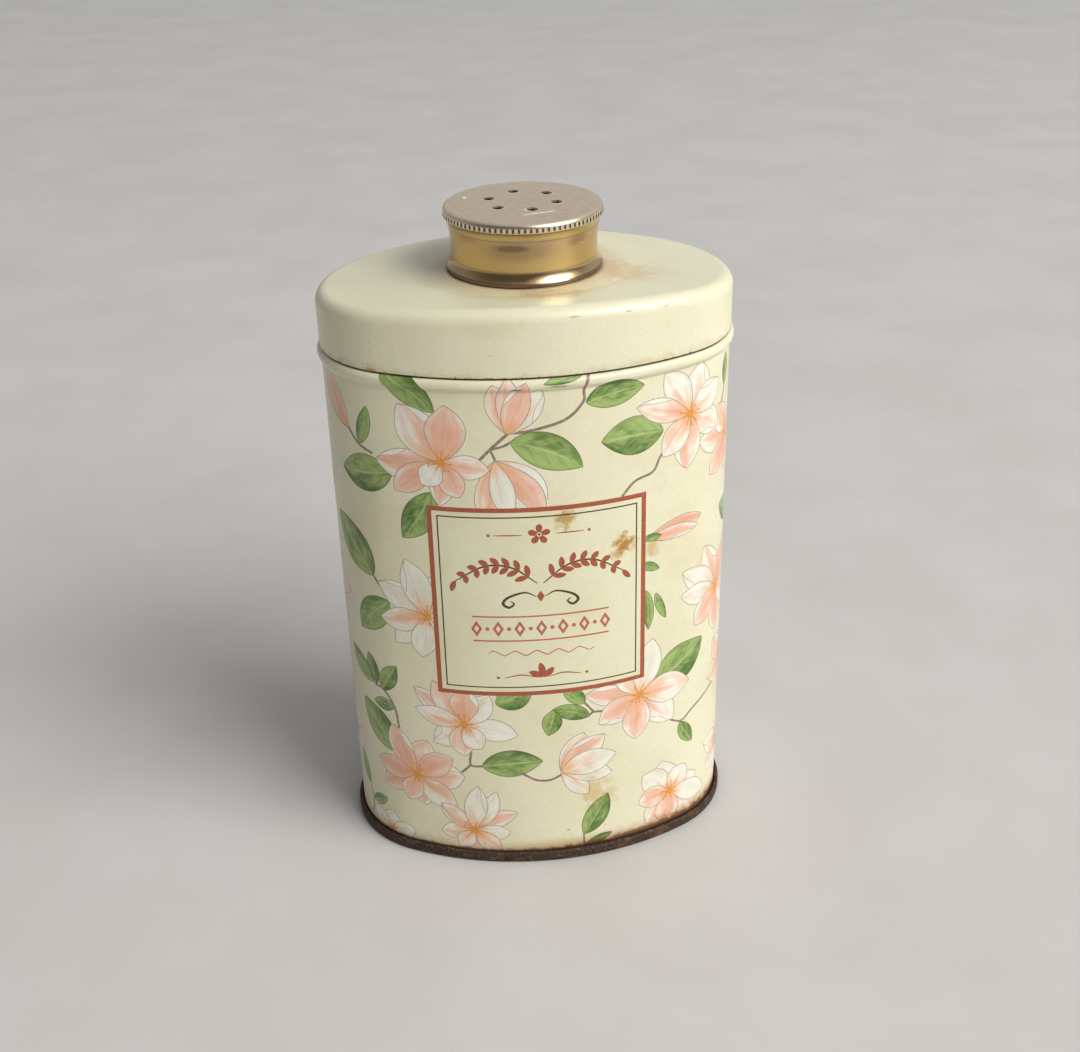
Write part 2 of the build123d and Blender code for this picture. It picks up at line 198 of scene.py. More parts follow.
class Blade:
    """Frame of a petal or leaf along a bent centre line."""

    def __init__(self, base, angle, length, width, bend, form):
        self.base, self.angle, self.length, self.width = base, math.radians(angle), length, width
        self.curve = math.radians(bend) / length or 1e-6
        self.form = form
        self.peak = max(self.raw(i / 60) for i in range(61))

    def raw(self, t):
        start, fullness, tip = self.form
        t = min(max(t, 0.0), 1.0)
        return t**start * (1 - t**fullness) ** tip

    def half(self, t):
        return self.width / 2 * self.raw(t) / self.peak

    def at(self, t, across):
        """Point at a share of the length and a distance to the left of the centre line."""
        turn = t * self.length * self.curve
        x = math.sin(turn) / self.curve - across * math.sin(turn)
        y = (1 - math.cos(turn)) / self.curve + across * math.cos(turn)
        c, s = math.cos(self.angle), math.sin(self.angle)
        return self.base[0] + x * c - y * s, self.base[1] + x * s + y * c

    def find(self, run, height):
        """Share of the length, and of the half width, at a place on the wall."""
        dx, dy = run - self.base[0], height - self.base[1]
        c, s = math.cos(self.angle), math.sin(self.angle)
        x, y = dx * c + dy * s, dy * c - dx * s
        radius = 1 / self.curve
        side = 1 if radius > 0 else -1
        turn = math.atan2(x * side, (radius - y) * side)
        across = radius - side * math.hypot(x, radius - y)
        t = turn * side * abs(radius) / self.length
        t = min(max(t, 0.0), 1.05)
        return t, min(max(across / max(self.half(min(t, 1.0)), 0.25), -1.2), 1.2)

    def outline(self, low=0.0, high=1.0, right=-1.0, left=1.0):
        """Edge of the blade, or of a part of it."""
        count = max(8, round(self.length * (high - low) / 0.55))
        shares = [low + (high - low) * (1 - math.cos(math.pi * i / count)) / 2 for i in range(count + 1)]
        up = [self.at(t, self.half(t) * right) for t in shares]
        down = [self.at(t, self.half(t) * left) for t in reversed(shares)]
        joined = up + down
        kept = [joined[0]]
        for point in joined[1:]:
            if math.dist(point, kept[-1]) > 0.05:
                kept.append(point)
        if math.dist(kept[0], kept[-1]) < 0.05:
            kept.pop()
        return divided(kept, 0.7)


def stroke(kind, points, width, taper=0.0, curved=True):
    """A pen stroke; the taper thins both ends."""
    line = smooth(points) if curved else divided(list(points), 0.8, False)
    left, right = [], []
    last = len(line) - 1
    for i, here in enumerate(line):
        along = Vector(line[min(i + 1, last)]) - Vector(line[max(i - 1, 0)])
        along.normalize()
        swell = math.sin(math.pi * (i + 0.5) / (last + 1))
        half = width / 2 * (1 - taper + taper * swell)
        left.append((here[0] - along.y * half, here[1] + along.x * half))
        right.append((here[0] + along.y * half, here[1] - along.x * half))
    return Shape(kind, right + left[::-1])


def polar(centre, radius, angle):
    """Point at a distance and a direction, in radians, from the centre."""
    return centre[0] + radius * math.cos(angle), centre[1] + radius * math.sin(angle)


def ring(centre, radius, count=20):
    return [polar(centre, radius, 2 * math.pi * i / count) for i in range(count)]


PETAL_LINE = 0.15            # how far a motif's pencil line stands outside it
LEAF_LINE = 0.1
LONG_PETAL = 8               # petals above this length may have a turned edge
TURNED_SHARE = 0.45
HEART_REACH = 2.6            # over which a blossom's heart changes colour
dice = random.Random(7)


def blade_shapes(kind, blade, line, margin, wash):
    outline = blade.outline()
    return [
        Shape(line, grown(outline, margin)),
        Shape(kind, outline, blade.find, dice.random(), wash),
    ]


def petal(base, angle, length, width, flush, bend=None):
    """One petal with its pencil outline, and sometimes a turned edge."""
    bend = dice.uniform(-28, 28) if bend is None else bend
    form = (dice.uniform(0.7, 0.86), dice.uniform(1.7, 2.4), dice.uniform(0.84, 1.08))
    blade = Blade(base, angle - bend / 2, length, width, bend, form)
    wash = (flush, dice.uniform(-0.7, 0.7), dice.random())
    shapes = blade_shapes("petal", blade, "petal_line", PETAL_LINE, wash)
    if length > LONG_PETAL and dice.random() < TURNED_SHARE:
        side = dice.choice((-1, 1))
        low = dice.uniform(0.35, 0.5)
        depth = dice.uniform(0.35, 0.6)
        edge, back = [], []
        for i in range(9):
            t = low + (1 - low) * i / 8
            reach = side * blade.half(t)
            edge.append(blade.at(t, reach))
            back.append(blade.at(t, reach * (1 - depth * math.sin(math.pi * i / 8))))
        lip = divided(edge + back[7:0:-1], 0.7)
        lip = lip if area(lip) > 0 else lip[::-1]
        shapes.append(Shape("petal_line", grown(lip, PETAL_LINE * 0.7)))
        wash = (flush * 0.35, -side * 1.4)
        shapes.append(Shape("petal", lip, blade.find, dice.random(), (*wash, dice.random())))
    return shapes


def blossom(centre, petals, flush=0.75):
    """Open flower: petals as (direction, length, width[, flush]), then the stamens."""
    shapes = []
    order = petals[1::2] + petals[0::2]
    for angle, length, width, *own in order:
        base = polar(centre, 0.5, math.radians(angle))
        strength = own[0] if own else min(1.0, max(0.25, flush + dice.uniform(-0.3, 0.25)))
        shapes += petal(base, angle, length - 0.5, width, strength)
    star = [polar(centre, dice.uniform(1.0, 1.9) if i % 2 else 0.75, math.pi * i / 11) for i in range(22)]
    from_centre = lambda run, height: (math.dist((run, height), centre) / HEART_REACH, 0.0)
    shapes.append(Shape("heart", star, from_centre, dice.random()))
    for i in range(9):
        turn = 2 * math.pi * (i + dice.uniform(-0.3, 0.3)) / 9
        tip = polar(centre, dice.uniform(1.7, 2.7), turn)
        shapes.append(stroke("stamen", [polar(centre, 0.5, turn), tip], 0.2, 0.3))
        shapes.append(Shape("anther", ring(tip, dice.uniform(0.16, 0.26), 8)))
    for shape in shapes:
        shape.home = centre[0]
    return shapes


def bud(base, petals, flush=1.0):
    """Closed flower: petals from one base."""
    shapes = []
    for angle, length, width, *own in petals:
        shapes += petal(base, angle, length, width, own[0] if own else flush, dice.uniform(-14, 14))
    for shape in shapes:
        shape.home = base[0]
    return shapes


def leaf(base, tip, width, bend=None):
    """Leaf from its stalk to its tip."""
    bend = dice.uniform(-30, 30) if bend is None else bend
    chord = math.dist(base, tip)
    turn = math.radians(bend)
    length = chord * (turn / 2) / math.sin(turn / 2) if abs(turn) > 1e-3 else chord
    angle = math.degrees(math.atan2(tip[1] - base[1], tip[0] - base[0])) - bend / 2
    blade = Blade(base, angle, length, width, bend, (0.72, 1.3, 0.92))
    wash = (dice.random(), dice.choice((-1.0, 1.0)), dice.random())
    return blade_shapes("leaf", blade, "leaf_line", LEAF_LINE, wash)


def stem(points, width=0.5):
    return [stroke("stem", points, width)]


def even_petals(count, turn, reach, width):
    """Petals all round an open flower, some a little shorter than others."""
    uneven = 3 if count > 6 else 2
    return [(turn + 360 // count * i, reach - i % uneven, width) for i in range(count)]


# leaves of the front as (base, tip, width, bend)
LEAVES = [
    ((-31, 115), (-20.4, 107), 5.6, -12), ((-37.2, 98.3), (-34.7, 106.6), 3.2, 12),
    ((-30, 93.5), (-43, 91.6), 8, -14), ((-22, 90), (-28.6, 79.3), 6.6, -18),
    ((8, 114.2), (0.5, 113.0), 1.6, 6), ((-6, 101.2), (7.8, 95), 7.4, -26),
    ((8.6, 108.3), (20.4, 110), 5.4, -14), ((24.8, 99.5), (11.6, 99.6), 8, 10),
    ((43.3, 103.8), (43.6, 110.6), 3, 8), ((-36.5, 68.8), (-47.8, 79.8), 8.4, 18),
    ((-33, 63.5), (-41.6, 54.6), 7, 16), ((20, 70.8), (24.4, 68.9), 2, -8),
    ((21.2, 64.5), (21.9, 55), 2.6, -16), ((23.6, 63.2), (26.2, 56.6), 1.9, 10),
    ((-36.6, 40.7), (-32.6, 47.8), 4.2, -14), ((-38.5, 41.5), (-40.2, 49), 3.4, 14),
    ((-39, 41.8), (-46.8, 48.2), 4.6, -12), ((-33.8, 37.2), (-39.4, 37), 3.2, 10),
    ((-34.5, 25.5), (-43.2, 36.2), 7.4, 12), ((-14.5, 25.2), (-1.6, 26.5), 6.8, -10),
    ((-11, 41.5), (-3.4, 45), 6, 10), ((8.6, 36.8), (0.5, 39.2), 3.8, 26),
    ((1, 39.3), (-0.3, 33), 4.2, -16), ((7.6, 40.2), (3, 44.5), 3.4, 12), ((23.5, 41), (36.6, 48), 9, 14),
    ((30.6, 28.4), (34.2, 22), 3.4, 16), ((7.2, 5.6), (12.6, 15.6), 5.2, 10),
    ((7.6, 2.4), (13.6, 4.6), 2, -8), ((-43.2, 8.4), (-38, 11.2), 2.8, 8),
    ((-44.5, 12), (-46.8, 20), 3.2, -8), ((43, 77), (55, 71), 6, 10), ((-52, 30), (-58, 41), 6, 14),
    ((-51, 84), (-57, 94), 6, -12), ((56, 34), (50, 24), 6.5, 12),
]
# stems as (points, width)
STEMS = [
    ([(-13.5, 96), (-10, 99.7), (-6.3, 103.2)], 0.62), ([(-10, 99.7), (-7.5, 100.4), (-5.9, 101.3)], 0.5),
    ([(-10, 99.7), (-9.4, 98.4), (-9, 97.2)], 0.5),
    ([(-6.4, 103.2), (-3, 103.3), (4.4, 105.2), (8, 108.5), (8.2, 111), (9.1, 114.4)], 0.6),
    ([(-40, 101), (-37.4, 98.2), (-34, 96.8)], 0.6),
    ([(27, 97.2), (24.2, 94), (22.6, 91.2), (18.6, 90), (15.8, 87.2)], 0.55),
    ([(43.3, 104), (42.3, 101), (40.2, 99.2)], 0.5), ([(-36.6, 69), (-35, 67), (-33, 66)], 0.55),
    ([(-38.8, 41.4), (-36.2, 40.8), (-33.7, 37), (-33, 32)], 0.55),
    ([(-16.8, 29), (-17, 25.4), (-14.3, 25.2)], 0.55), ([(-17, 25.4), (-18.8, 23.5), (-20, 22.4)], 0.55),
    ([(-6.2, 23.6), (-3, 21.6), (0, 21.4), (2.6, 22.6)], 0.55),
    ([(12.4, 37.2), (9.6, 37.6), (8.4, 36.8)], 0.55), ([(9.6, 37.6), (7.4, 40.6)], 0.5),
    ([(28, 30), (31, 28.7), (34.2, 30.6), (40.4, 32.8), (44, 33.6)], 0.5),
    ([(7.2, 1.6), (7.1, 5.8)], 0.42), ([(-44.2, 4), (-43.4, 8.6), (-44.4, 12.2)], 0.42),
]
# closed flowers as (base, petals)
BUDS = [
    ((-40, 101), [(136, 10.5, 4.4), (124, 12, 5.6, 0.9)]),
    ((-6.6, 103), [(104, 10.4, 5, 0.7), (52, 11, 5, 0.55), (88, 11.5, 4.6, 0.8), (70, 11, 5, 0.9)]),
    ((-9.2, 97.2), [(-100, 14, 6, 0.9), (-40, 13, 6, 0.25), (-52, 15, 6.6, 1.0), (-78, 13, 4.6, 0.2)]),
    ((21.6, 76.4), [(8, 13.5, 4.4, 1.0), (-1, 12.5, 3, 0.75)]),
    ((2.4, 23.4), [
        (-50, 9, 4.4, 0.4), (62, 10.5, 5.4, 0.8), (-12, 11.5, 5, 0.35), (40, 12.5, 6, 0.75),
        (12, 12.4, 6, 0.5),
    ]),
]
# open flowers as (centre, flush, petals)
BLOSSOMS = [
    ((45, 93), 0.85, even_petals(7, 20, 11, 6)),
    ((-19.7, 96.7), 0.85, [
        (-145, 12, 5.5), (183, 13.5, 6.5), (-95, 9.5, 5), (125, 14, 8), (-65, 8, 5, 0.9), (84, 12, 8),
        (-130, 6.5, 5, 0.1), (-8, 9.5, 5),
    ]),
    ((31.3, 101.5), 0.6, [
        (123, 11.6, 6), (75, 10.6, 6.5), (30, 10, 6), (-30, 10.4, 6), (-130, 10, 6), (-93, 11.7, 6.5),
        (162, 13, 5),
    ]),
    ((-24.5, 61.5), 0.5, [
        (108, 13.5, 6.4, 0.3), (150, 12.5, 6, 0.4), (190, 11, 5.5), (225, 10.5, 5.5), (260, 10, 5.5),
        (70, 11, 6),
    ]),
    ((42, 58), 0.7, [
        (146, 14, 6, 0.4), (115, 13, 6), (170, 12, 5), (60, 11, 6), (218, 10, 6), (10, 11, 6),
        (-40, 11, 6), (-90, 11, 6),
    ]),
    ((-18, 35.8), 0.65, [
        (122, 12, 5.5), (143, 13.4, 5), (165, 11, 4.5), (-143, 8.7, 6), (55, 9.5, 5.5),
        (-12, 11.5, 5.5, 0.15), (-60, 7, 5), (-90, 8.2, 6), (90, 9, 6, 1.0),
    ]),
    ((-29.5, 20.7), 0.85, [
        (113, 13, 5.5), (73, 10, 6), (34, 10.4, 6), (7, 11, 7), (-38, 11.5, 6), (-78, 8, 6),
        (-107, 7.4, 5), (209, 9.7, 6), (170, 10, 5.5),
    ]),
    ((-17, 7.8), 0.6, [
        (64, 12, 4.2), (28, 11, 4), (138, 9.5, 4.2), (188, 7.4, 4.2), (-125, 6, 4.2), (-80, 6, 4.2),
        (-42, 8, 4.2), (0, 8, 4), (84, 12, 5),
    ]),
    ((20, 39.3), 0.8, [
        (77, 13.4, 6.6, 0.1), (167, 12.5, 5), (209, 10.6, 6), (120, 9, 5), (-95, 11, 6.4),
        (-47, 12.4, 6.8), (-3, 12.8, 7.2),
    ]),
    ((28, 11), 0.7, [
        (138, 9.5, 6.4, 0.3), (103, 9, 7, 0.2), (51, 7, 6), (11, 8, 5.4), (-23, 11.6, 5.4, 0.3),
        (-47, 11, 6), (-100, 8.4, 6.4), (-130, 9.2, 5.6), (187, 8, 5.6),
    ]),
    ((48.5, 37), 0.6, even_petals(6, 10, 10, 6)),
    ((47, 14.5), 0.5, even_petals(6, 35, 9, 5.6)),
    ((-55.5, 61), 0.8, even_petals(7, 5, 10.5, 5.6)),
    ((-37.5, 2.5), 0.35, even_petals(6, 20, 7, 4.6)),
    ((-52.5, 23), 0.6, even_petals(6, 50, 8, 5)),
]
CALYX_BUD = (21.6, 76.4)         # its calyx is drawn over it


def front_spray():
    """Leaves, stems, buds and blossoms of the all-over pattern, as they lie on the front."""
    s = []
    for base, tip, width, bend in LEAVES:
        s += leaf(base, tip, width, bend)
    for points, width in STEMS:
        s += stem(points, width)
    for base, petals in BUDS:
        s += bud(base, petals)
        if base == CALYX_BUD:
            s += leaf((20.6, 76.5), (24.8, 76.5), 1.7, 0)
    for centre, flush, petals in BLOSSOMS:
        s += blossom(centre, petals, flush)
    return s


def label():
    """Framed panel with a line-drawn ornament and no lettering."""
    left, right, low, high = -23.2, 21.1, 43.5, 87.2

    def panel(kind, inset):
        sides, ends = (left + inset, right - inset), (low + inset, high - inset)
        corners = [(sides[0], ends[0]), (sides[1], ends[0]), (sides[1], ends[1]), (sides[0], ends[1])]
        return Shape(kind, divided(corners))

    def lozenge(kind, centre, half_width, half_height):
        x, y = centre
        corners = [(x, y - half_height), (x + half_width, y), (x, y + half_height), (x - half_width, y)]
        return Shape(kind, divided(corners))

    s = [panel("frame_ink", 0), panel("paper", 1.0), panel("dark_ink", 1.95), panel("paper", 2.25)]
    middle = (left + right) / 2

    def mirrored(make, points, *args):
        flipped = [(2 * middle - x, y) for x, y in points]
        return [make(points, *args), make(flipped, *args)]

    def line(points, width=0.32, taper=0.6, kind="frame_ink"):
        return stroke(kind, points, width, taper)

    def dot(points, radius=0.34):
        return Shape("frame_ink", ring(points[0], radius, 10))

    def spray(base, tip, width):
        angle = math.degrees(math.atan2(tip[1] - base[1], tip[0] - base[0]))
        blade = Blade(base, angle, math.dist(base, tip), width, 18, (0.7, 1.6, 0.8))
        return Shape("frame_ink", blade.outline())

    # crest: a small open flower between two rules
    crest = (middle, 81.2)
    for i in range(5):
        s.append(Shape("frame_ink", Blade(crest, 90 + 72 * i, 2.3, 1.35, 0, (0.8, 2.4, 0.6)).outline()))
    s.append(Shape("paper", ring(crest, 0.5, 14)))
    s.append(Shape("dark_ink", ring(crest, 0.27, 10)))
    s += mirrored(line, [(middle - 9, 81.2), (middle - 3.4, 81.2)], 0.3, 0.7)
    s += mirrored(dot, [(middle - 10, 81.2)])

    # garland: two leafy branches meeting under the crest
    branch = [(middle - 0.6, 70.2), (middle - 5.5, 73.9), (middle - 11, 74.3), (middle - 17.2, 70.6)]
    s += mirrored(line, branch, 0.42, 0.55, "dark_ink")
    curve = smooth(branch, 8)
    for i in range(3, len(curve) - 2, 3):
        here, ahead = Vector(curve[i]), Vector(curve[i + 1])
        along = math.atan2(ahead.y - here.y, ahead.x - here.x)
        for side in (-1, 1):
            tip = polar(here, 3.0 - 0.05 * i, along + side * 0.85)
            s.append(spray(tuple(here), tip, 1.25))
            s.append(spray((2 * middle - here.x, here.y), (2 * middle - tip[0], tip[1]), 1.25))
    s.append(spray((middle - 17, 70.8), (middle - 18.4, 68.4), 1.2))
    s.append(spray((middle + 17, 70.8), (middle + 18.4, 68.4), 1.2))

    # knot: facing scrolls with a lozenge between them
    turns = [(0.9, 67.2), (3.2, 68.2), (6.4, 67.2), (7.6, 65.8), (6.5, 64.8), (5.4, 65.6), (6.1, 66.3)]
    s += mirrored(line, [(middle - x, y) for x, y in turns], 0.6, 0.75, "dark_ink")
    s.append(lozenge("frame_ink", (middle, 67.2), 0.8, 1.3))

    # band: lozenges and dots between two rules
    for height in (62.6, 56.9):
        s.append(stroke("wash_ink", [(middle - 14, height), (middle + 14, height)], 0.36, 0.0))
    for i in range(-6, 7):
        x = middle + 2.2 * i
        if i % 2:
            s.append(Shape("wash_ink", ring((x, 59.75), 0.45, 12)))
        else:
            s.append(lozenge("wash_ink", (x, 59.75), 1.15, 1.85))
            s.append(lozenge("paper", (x, 59.75), 0.5, 0.85))

    # wave
    wave = [(middle - 11 + i * 1.1, 53.9 + 0.55 * math.sin(i * math.pi / 2)) for i in range(21)]
    s.append(stroke("wash_ink", wave, 0.26, 0.3))

    # foot: three leaves and two dots
    foot = (middle, 47.9)
    for turn, reach in ((90, 3.6), (145, 3.2), (35, 3.2)):
        s.append(spray(foot, polar(foot, reach, math.radians(turn)), 1.5))
    s += mirrored(line, [(middle - 1.2, 47.9), (middle - 4.4, 48.6), (middle - 8, 47.9)], 0.32, 0.7)
    s += mirrored(dot, [(middle - 9.2, 48.0)])
    return s


def back_spray():
    """Extra flowers where the back has no label."""
    s = []
    s += leaf((6, 76), (16, 80), 6.6, 12)
    s += leaf((-12, 72), (-20, 80), 6.8, 14)
    s += leaf((8, 54), (16, 47), 6, -12)
    s += leaf((-8, 50), (-14, 44), 5, 12)
    s += stem([(-10, 80), (-6, 76), (2, 72), (6, 76)], 0.55)
    s += stem([(4, 60), (8, 54)], 0.5)
    s += blossom((-3, 64), even_petals(8, 12, 12, 6.4), 0.7)
    s += bud((-10, 80), [(130, 9, 4.6, 0.8), (96, 10, 5, 0.6), (112, 10, 4.4, 1.0)])

    # where the sides meet the back
    for side in (-1, 1):
        s += stem([(side * 47, 84), (side * 46, 79), (side * 49, 73)], 0.5)
        s += leaf((side * 46.2, 79), (side * 39, 72.5), 5.6, side * 14)
        petals = [(90 + side * 22, 10, 4.6, 0.8), (90 - side * 18, 10, 4.6, 0.5), (90, 11, 4.4, 1.0)]
        s += bud((side * 47, 84), petals)
        s += stem([(side * 45, 47), (side * 42.5, 51), (side * 38, 53)], 0.5)
        s += leaf((side * 42.5, 51), (side * 46.5, 58.5), 5, side * -12)
        petals = [(-90 + side * 24, 9, 4.6, 0.4), (-90 - side * 20, 9, 4.4, 0.9), (-90, 10, 4.6, 0.7)]
        s += bud((side * 45, 47), petals)
        s += leaf((side * 40, 12), (side * 45.5, 21), 5.4, side * 12)
    return s


# ---- printed skin ----

GRID_STEP = 1.2 * DETAIL      # between the skin's own rows and columns
BACK_START = 68.0             # shapes shifted to the back are kept only beyond this run
KINDS = [
    "ground", "petal", "petal_line", "heart", "stamen", "anther", "leaf", "leaf_line", "stem",
    "paper", "frame_ink", "dark_ink", "wash_ink",
]


def skin_piece(name, left, right, shapes, materials):
    """Cut one strip of the skin along every outline and bend it round the wall."""
    columns = math.ceil((right - left) / GRID_STEP)
    grid = [left + (right - left) * i / columns for i in range(columns + 1)]
    plain_rows = int((SKIN[1][0] - PRINT_FOOT) / GRID_STEP)
    heights = [PRINT_FOOT + GRID_STEP * i for i in range(1, plain_rows)]
    rows = [row[0] for row in SKIN[1:] if row[0] < PRINT_TOP - 0.05]
    sides = sorted(heights + rows)
    frame_edge = [(x, PRINT_FOOT) for x in grid] + [(right, z) for z in sides]
    frame_edge += [(x, PRINT_TOP) for x in reversed(grid)] + [(left, z) for z in reversed(sides)]
    points, faces = [Vector(p) for p in frame_edge], [list(range(len(frame_edge)))]
    used = [None]
    for shape in shapes:
        xs = [p[0] for p in shape.outline]
        ys = [p[1] for p in shape.outline]
        if max(xs) < left or min(xs) > right or max(ys) < PRINT_FOOT or min(ys) > PRINT_TOP:
            continue
        faces.append(list(range(len(points), len(points) + len(shape.outline))))
        points += [Vector(p) for p in shape.outline]
        used.append(shape)
    for i in range(1, columns):
        for j, height in enumerate(heights):
            shift = 0.37 if j % 2 else 0.0
            points.append(Vector((left + (right - left) * (i + shift) / columns, height)))
    # the bead's bends are cut through every outline
    bends = []
    for height in rows:
        first = len(points)
        points += [Vector((x, height)) for x in grid]
        bends += [(first + i, first + i + 1) for i in range(columns)]
    cut_points, _, cut_faces, _, _, owners = delaunay_2d_cdt(points, bends, faces, 0, 1e-5)
    inside = [(face, owner) for face, owner in zip(cut_faces, owners) if 0 in owner]
    kept = sorted({i for face, _ in inside for i in face})
    cut_points = [cut_points[i] for i in kept]
    number = {old: new for new, old in enumerate(kept)}

    solid, kinds, picture, wash = [], [], [], []
    for cut_face, owner in inside:
        face = [number[i] for i in cut_face]
        shape = used[max(owner)]
        solid.append(face)
        kinds.append(KINDS.index(shape.kind) if shape else 0)
        for i in face:
            place = cut_points[i]
            t, across = shape.find(place.x, place.y) if shape else (0.0, 0.0)
            picture += (t, across, shape.seed if shape else 0.0)
            wash += shape.wash if shape else (0.0, 0.0, 0.0)

    corners, normals = [], []
    for place in cut_points:
        outset, outward, upward = skin_row(place.y)
        x, y, out_x, out_y = plan_point(place.x, outset)
        corners.append((x * MM, y * MM, place.y * MM))
        normals.append((out_x * outward, out_y * outward, upward))
    mesh = bpy.data.meshes.new(name)
    mesh.from_pydata(corners, [], solid)
    mesh.polygons.foreach_set("use_smooth", [True] * len(solid))
    mesh.polygons.foreach_set("material_index", kinds)
    for label_, values in (("picture", picture), ("wash", wash)):
        mesh.attributes.new(label_, "FLOAT_VECTOR", "CORNER").data.foreach_set("vector", values)
    place = mesh.attributes.new("place", "FLOAT_VECTOR", "POINT")
    place.data.foreach_set("vector", [c for p in cut_points for c in (p.x, p.y, 0.0)])
    for kind in KINDS:
        mesh.materials.append(materials[kind])
    mesh.normals_split_custom_set_from_vertices(normals)
    piece = placed(name, mesh)
    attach(piece, "tin_body")
    return piece


# ---- node graphs ----


def srgb(red, green, blue):
    """Display colour, 0 to 255, as a linear one."""
    shares = (red / 255, green / 255, blue / 255)
    return tuple(c / 12.92 if c <= 0.04045 else ((c + 0.055) / 1.055) ** 2.4 for c in shares)


def operator(name, flip=False):
    """Arithmetic on a wire; flipped when the wire is on the right."""

    def apply(self, other):
        return self.graph.calc(name, *((other, self) if flip else (self, other)))

    return apply


class Wire:
    """Output of a node, open to arithmetic."""

    __add__, __radd__ = operator("ADD"), operator("ADD", True)
    __sub__, __rsub__ = operator("SUBTRACT"), operator("SUBTRACT", True)
    __mul__, __rmul__ = operator("MULTIPLY"), operator("MULTIPLY", True)
    __truediv__ = operator("DIVIDE")

    def __init__(self, graph, socket):
        self.graph, self.socket = graph, socket

    def over(self, share, *shade):
        """The colour with a share of a display shade laid over it."""
        return self.graph.mix(share, self, srgb(*shade))

    def tint(self, share, *shade):
        """The colour multiplied by a display shade, as a stain does."""
        return self.graph.mix(share, self, srgb(*shade), "MULTIPLY")


class Graph:
    """The nodes of a material or of the world."""

    def __init__(self, owner):
        owner.use_nodes = True
        self.owner = owner
        self.tree = owner.node_tree
        self.shader = self.tree.nodes.get("Principled BSDF")
        self.bumps = None

    def put(self, socket, value):
        if isinstance(value, Wire):
            self.tree.links.new(value.socket, socket)
        elif isinstance(value, tuple) and len(value) == 3 and socket.type == "RGBA":
            socket.default_value = (*value, 1)
        else:
            socket.default_value = value

    def calc(self, operation, a, b=0.0, c=None):
        node = self.tree.nodes.new("ShaderNodeMath")
        node.operation = operation
        self.put(node.inputs[0], a)
        self.put(node.inputs[1], b)
        if c is not None:
            self.put(node.inputs[2], c)
        return Wire(self, node.outputs[0])

    def clamp(self, value):
        wire = self.calc("ADD", value, 0.0)
        wire.socket.node.use_clamp = True
        return wire

    def ramp(self, value, low, high, smooth_step=True):
        """0 at low, 1 at high; low may be the larger."""
        node = self.tree.nodes.new("ShaderNodeMapRange")
        node.interpolation_type = "SMOOTHSTEP" if smooth_step else "LINEAR"
        self.put(node.inputs["Value"], value)
        flip = low > high
        node.inputs["From Min"].default_value, node.inputs["From Max"].default_value = sorted((low, high))
        node.inputs["To Min"].default_value = int(flip)
        node.inputs["To Max"].default_value = int(not flip)
        return Wire(self, node.outputs["Result"])

    def mix(self, share, a, b, blend="MIX"):
        node = self.tree.nodes.new("ShaderNodeMix")
        node.data_type = "RGBA"
        node.blend_type = blend
        self.put(node.inputs["Factor"], share)
        self.put([i for i in node.inputs if i.name == "A" and i.type == "RGBA"][0], a)
        self.put([i for i in node.inputs if i.name == "B" and i.type == "RGBA"][0], b)
        return Wire(self, [o for o in node.outputs if o.type == "RGBA"][0])

    def most(self, a, b):
        return self.calc("MAXIMUM", a, b)

    def length(self, x, y):
        return self.calc("SQRT", x * x + y * y)

    def size(self, value):
        return self.calc("ABSOLUTE", value)

    def split(self, vector):
        node = self.tree.nodes.new("ShaderNodeSeparateXYZ")
        self.put(node.inputs[0], vector)
        return [Wire(self, o) for o in node.outputs]

    def join(self, x=0.0, y=0.0, z=0.0):
        node = self.tree.nodes.new("ShaderNodeCombineXYZ")
        for socket, value in zip(node.inputs, (x, y, z)):
            self.put(socket, value)
        return Wire(self, node.outputs[0])

    def attribute(self, name):
        node = self.tree.nodes.new("ShaderNodeAttribute")
        node.attribute_name = name
        return Wire(self, node.outputs["Vector"])

    def here(self):
        """Position on the object, mm."""
        node = self.tree.nodes.new("ShaderNodeTexCoord")
        scaled = self.tree.nodes.new("ShaderNodeVectorMath")
        scaled.operation = "SCALE"
        self.tree.links.new(node.outputs["Object"], scaled.inputs[0])
        scaled.inputs["Scale"].default_value = 1000
        return Wire(self, scaled.outputs[0])

    def normal(self):
        node = self.tree.nodes.new("ShaderNodeTexCoord")
        return Wire(self, node.outputs["Normal"])

    def noise(self, vector, scale, detail=3.0, rough=0.55, distort=0.0):
        """Noise about 0.5; the scale is in features per mm."""
        node = self.tree.nodes.new("ShaderNodeTexNoise")
        self.put(node.inputs["Vector"], vector)
        values = {"Scale": scale, "Detail": detail, "Roughness": rough, "Distortion": distort}
        for name, value in values.items():
            node.inputs[name].default_value = value
        return Wire(self, node.outputs[0])

    def cells(self, vector, scale, jitter=1.0):
        """Distance to the nearest scattered point, in cells, and that cell's random number."""
        node = self.tree.nodes.new("ShaderNodeTexVoronoi")
        self.put(node.inputs["Vector"], vector)
        node.inputs["Scale"].default_value = scale
        node.inputs["Randomness"].default_value = jitter
        colour = self.split(Wire(self, node.outputs["Color"]))[0]
        return Wire(self, node.outputs["Distance"]), colour

    def stretched(self, vector, factors, turn=0.0):
        """The vector turned about Z, degrees, then scaled."""
        node = self.tree.nodes.new("ShaderNodeMapping")
        self.put(node.inputs["Vector"], vector)
        node.inputs["Rotation"].default_value = (0, 0, math.radians(turn))
        node.inputs["Scale"].default_value = factors
        return Wire(self, node.outputs[0])

    def specks(self, vector, scale, size, share, jitter=1.0):
        """Small round marks in some of the cells."""
        distance, chance = self.cells(vector, scale, jitter)
        return self.ramp(distance, size, size * 0.45) * self.ramp(chance, 1 - share - 0.01, 1 - share + 0.01)

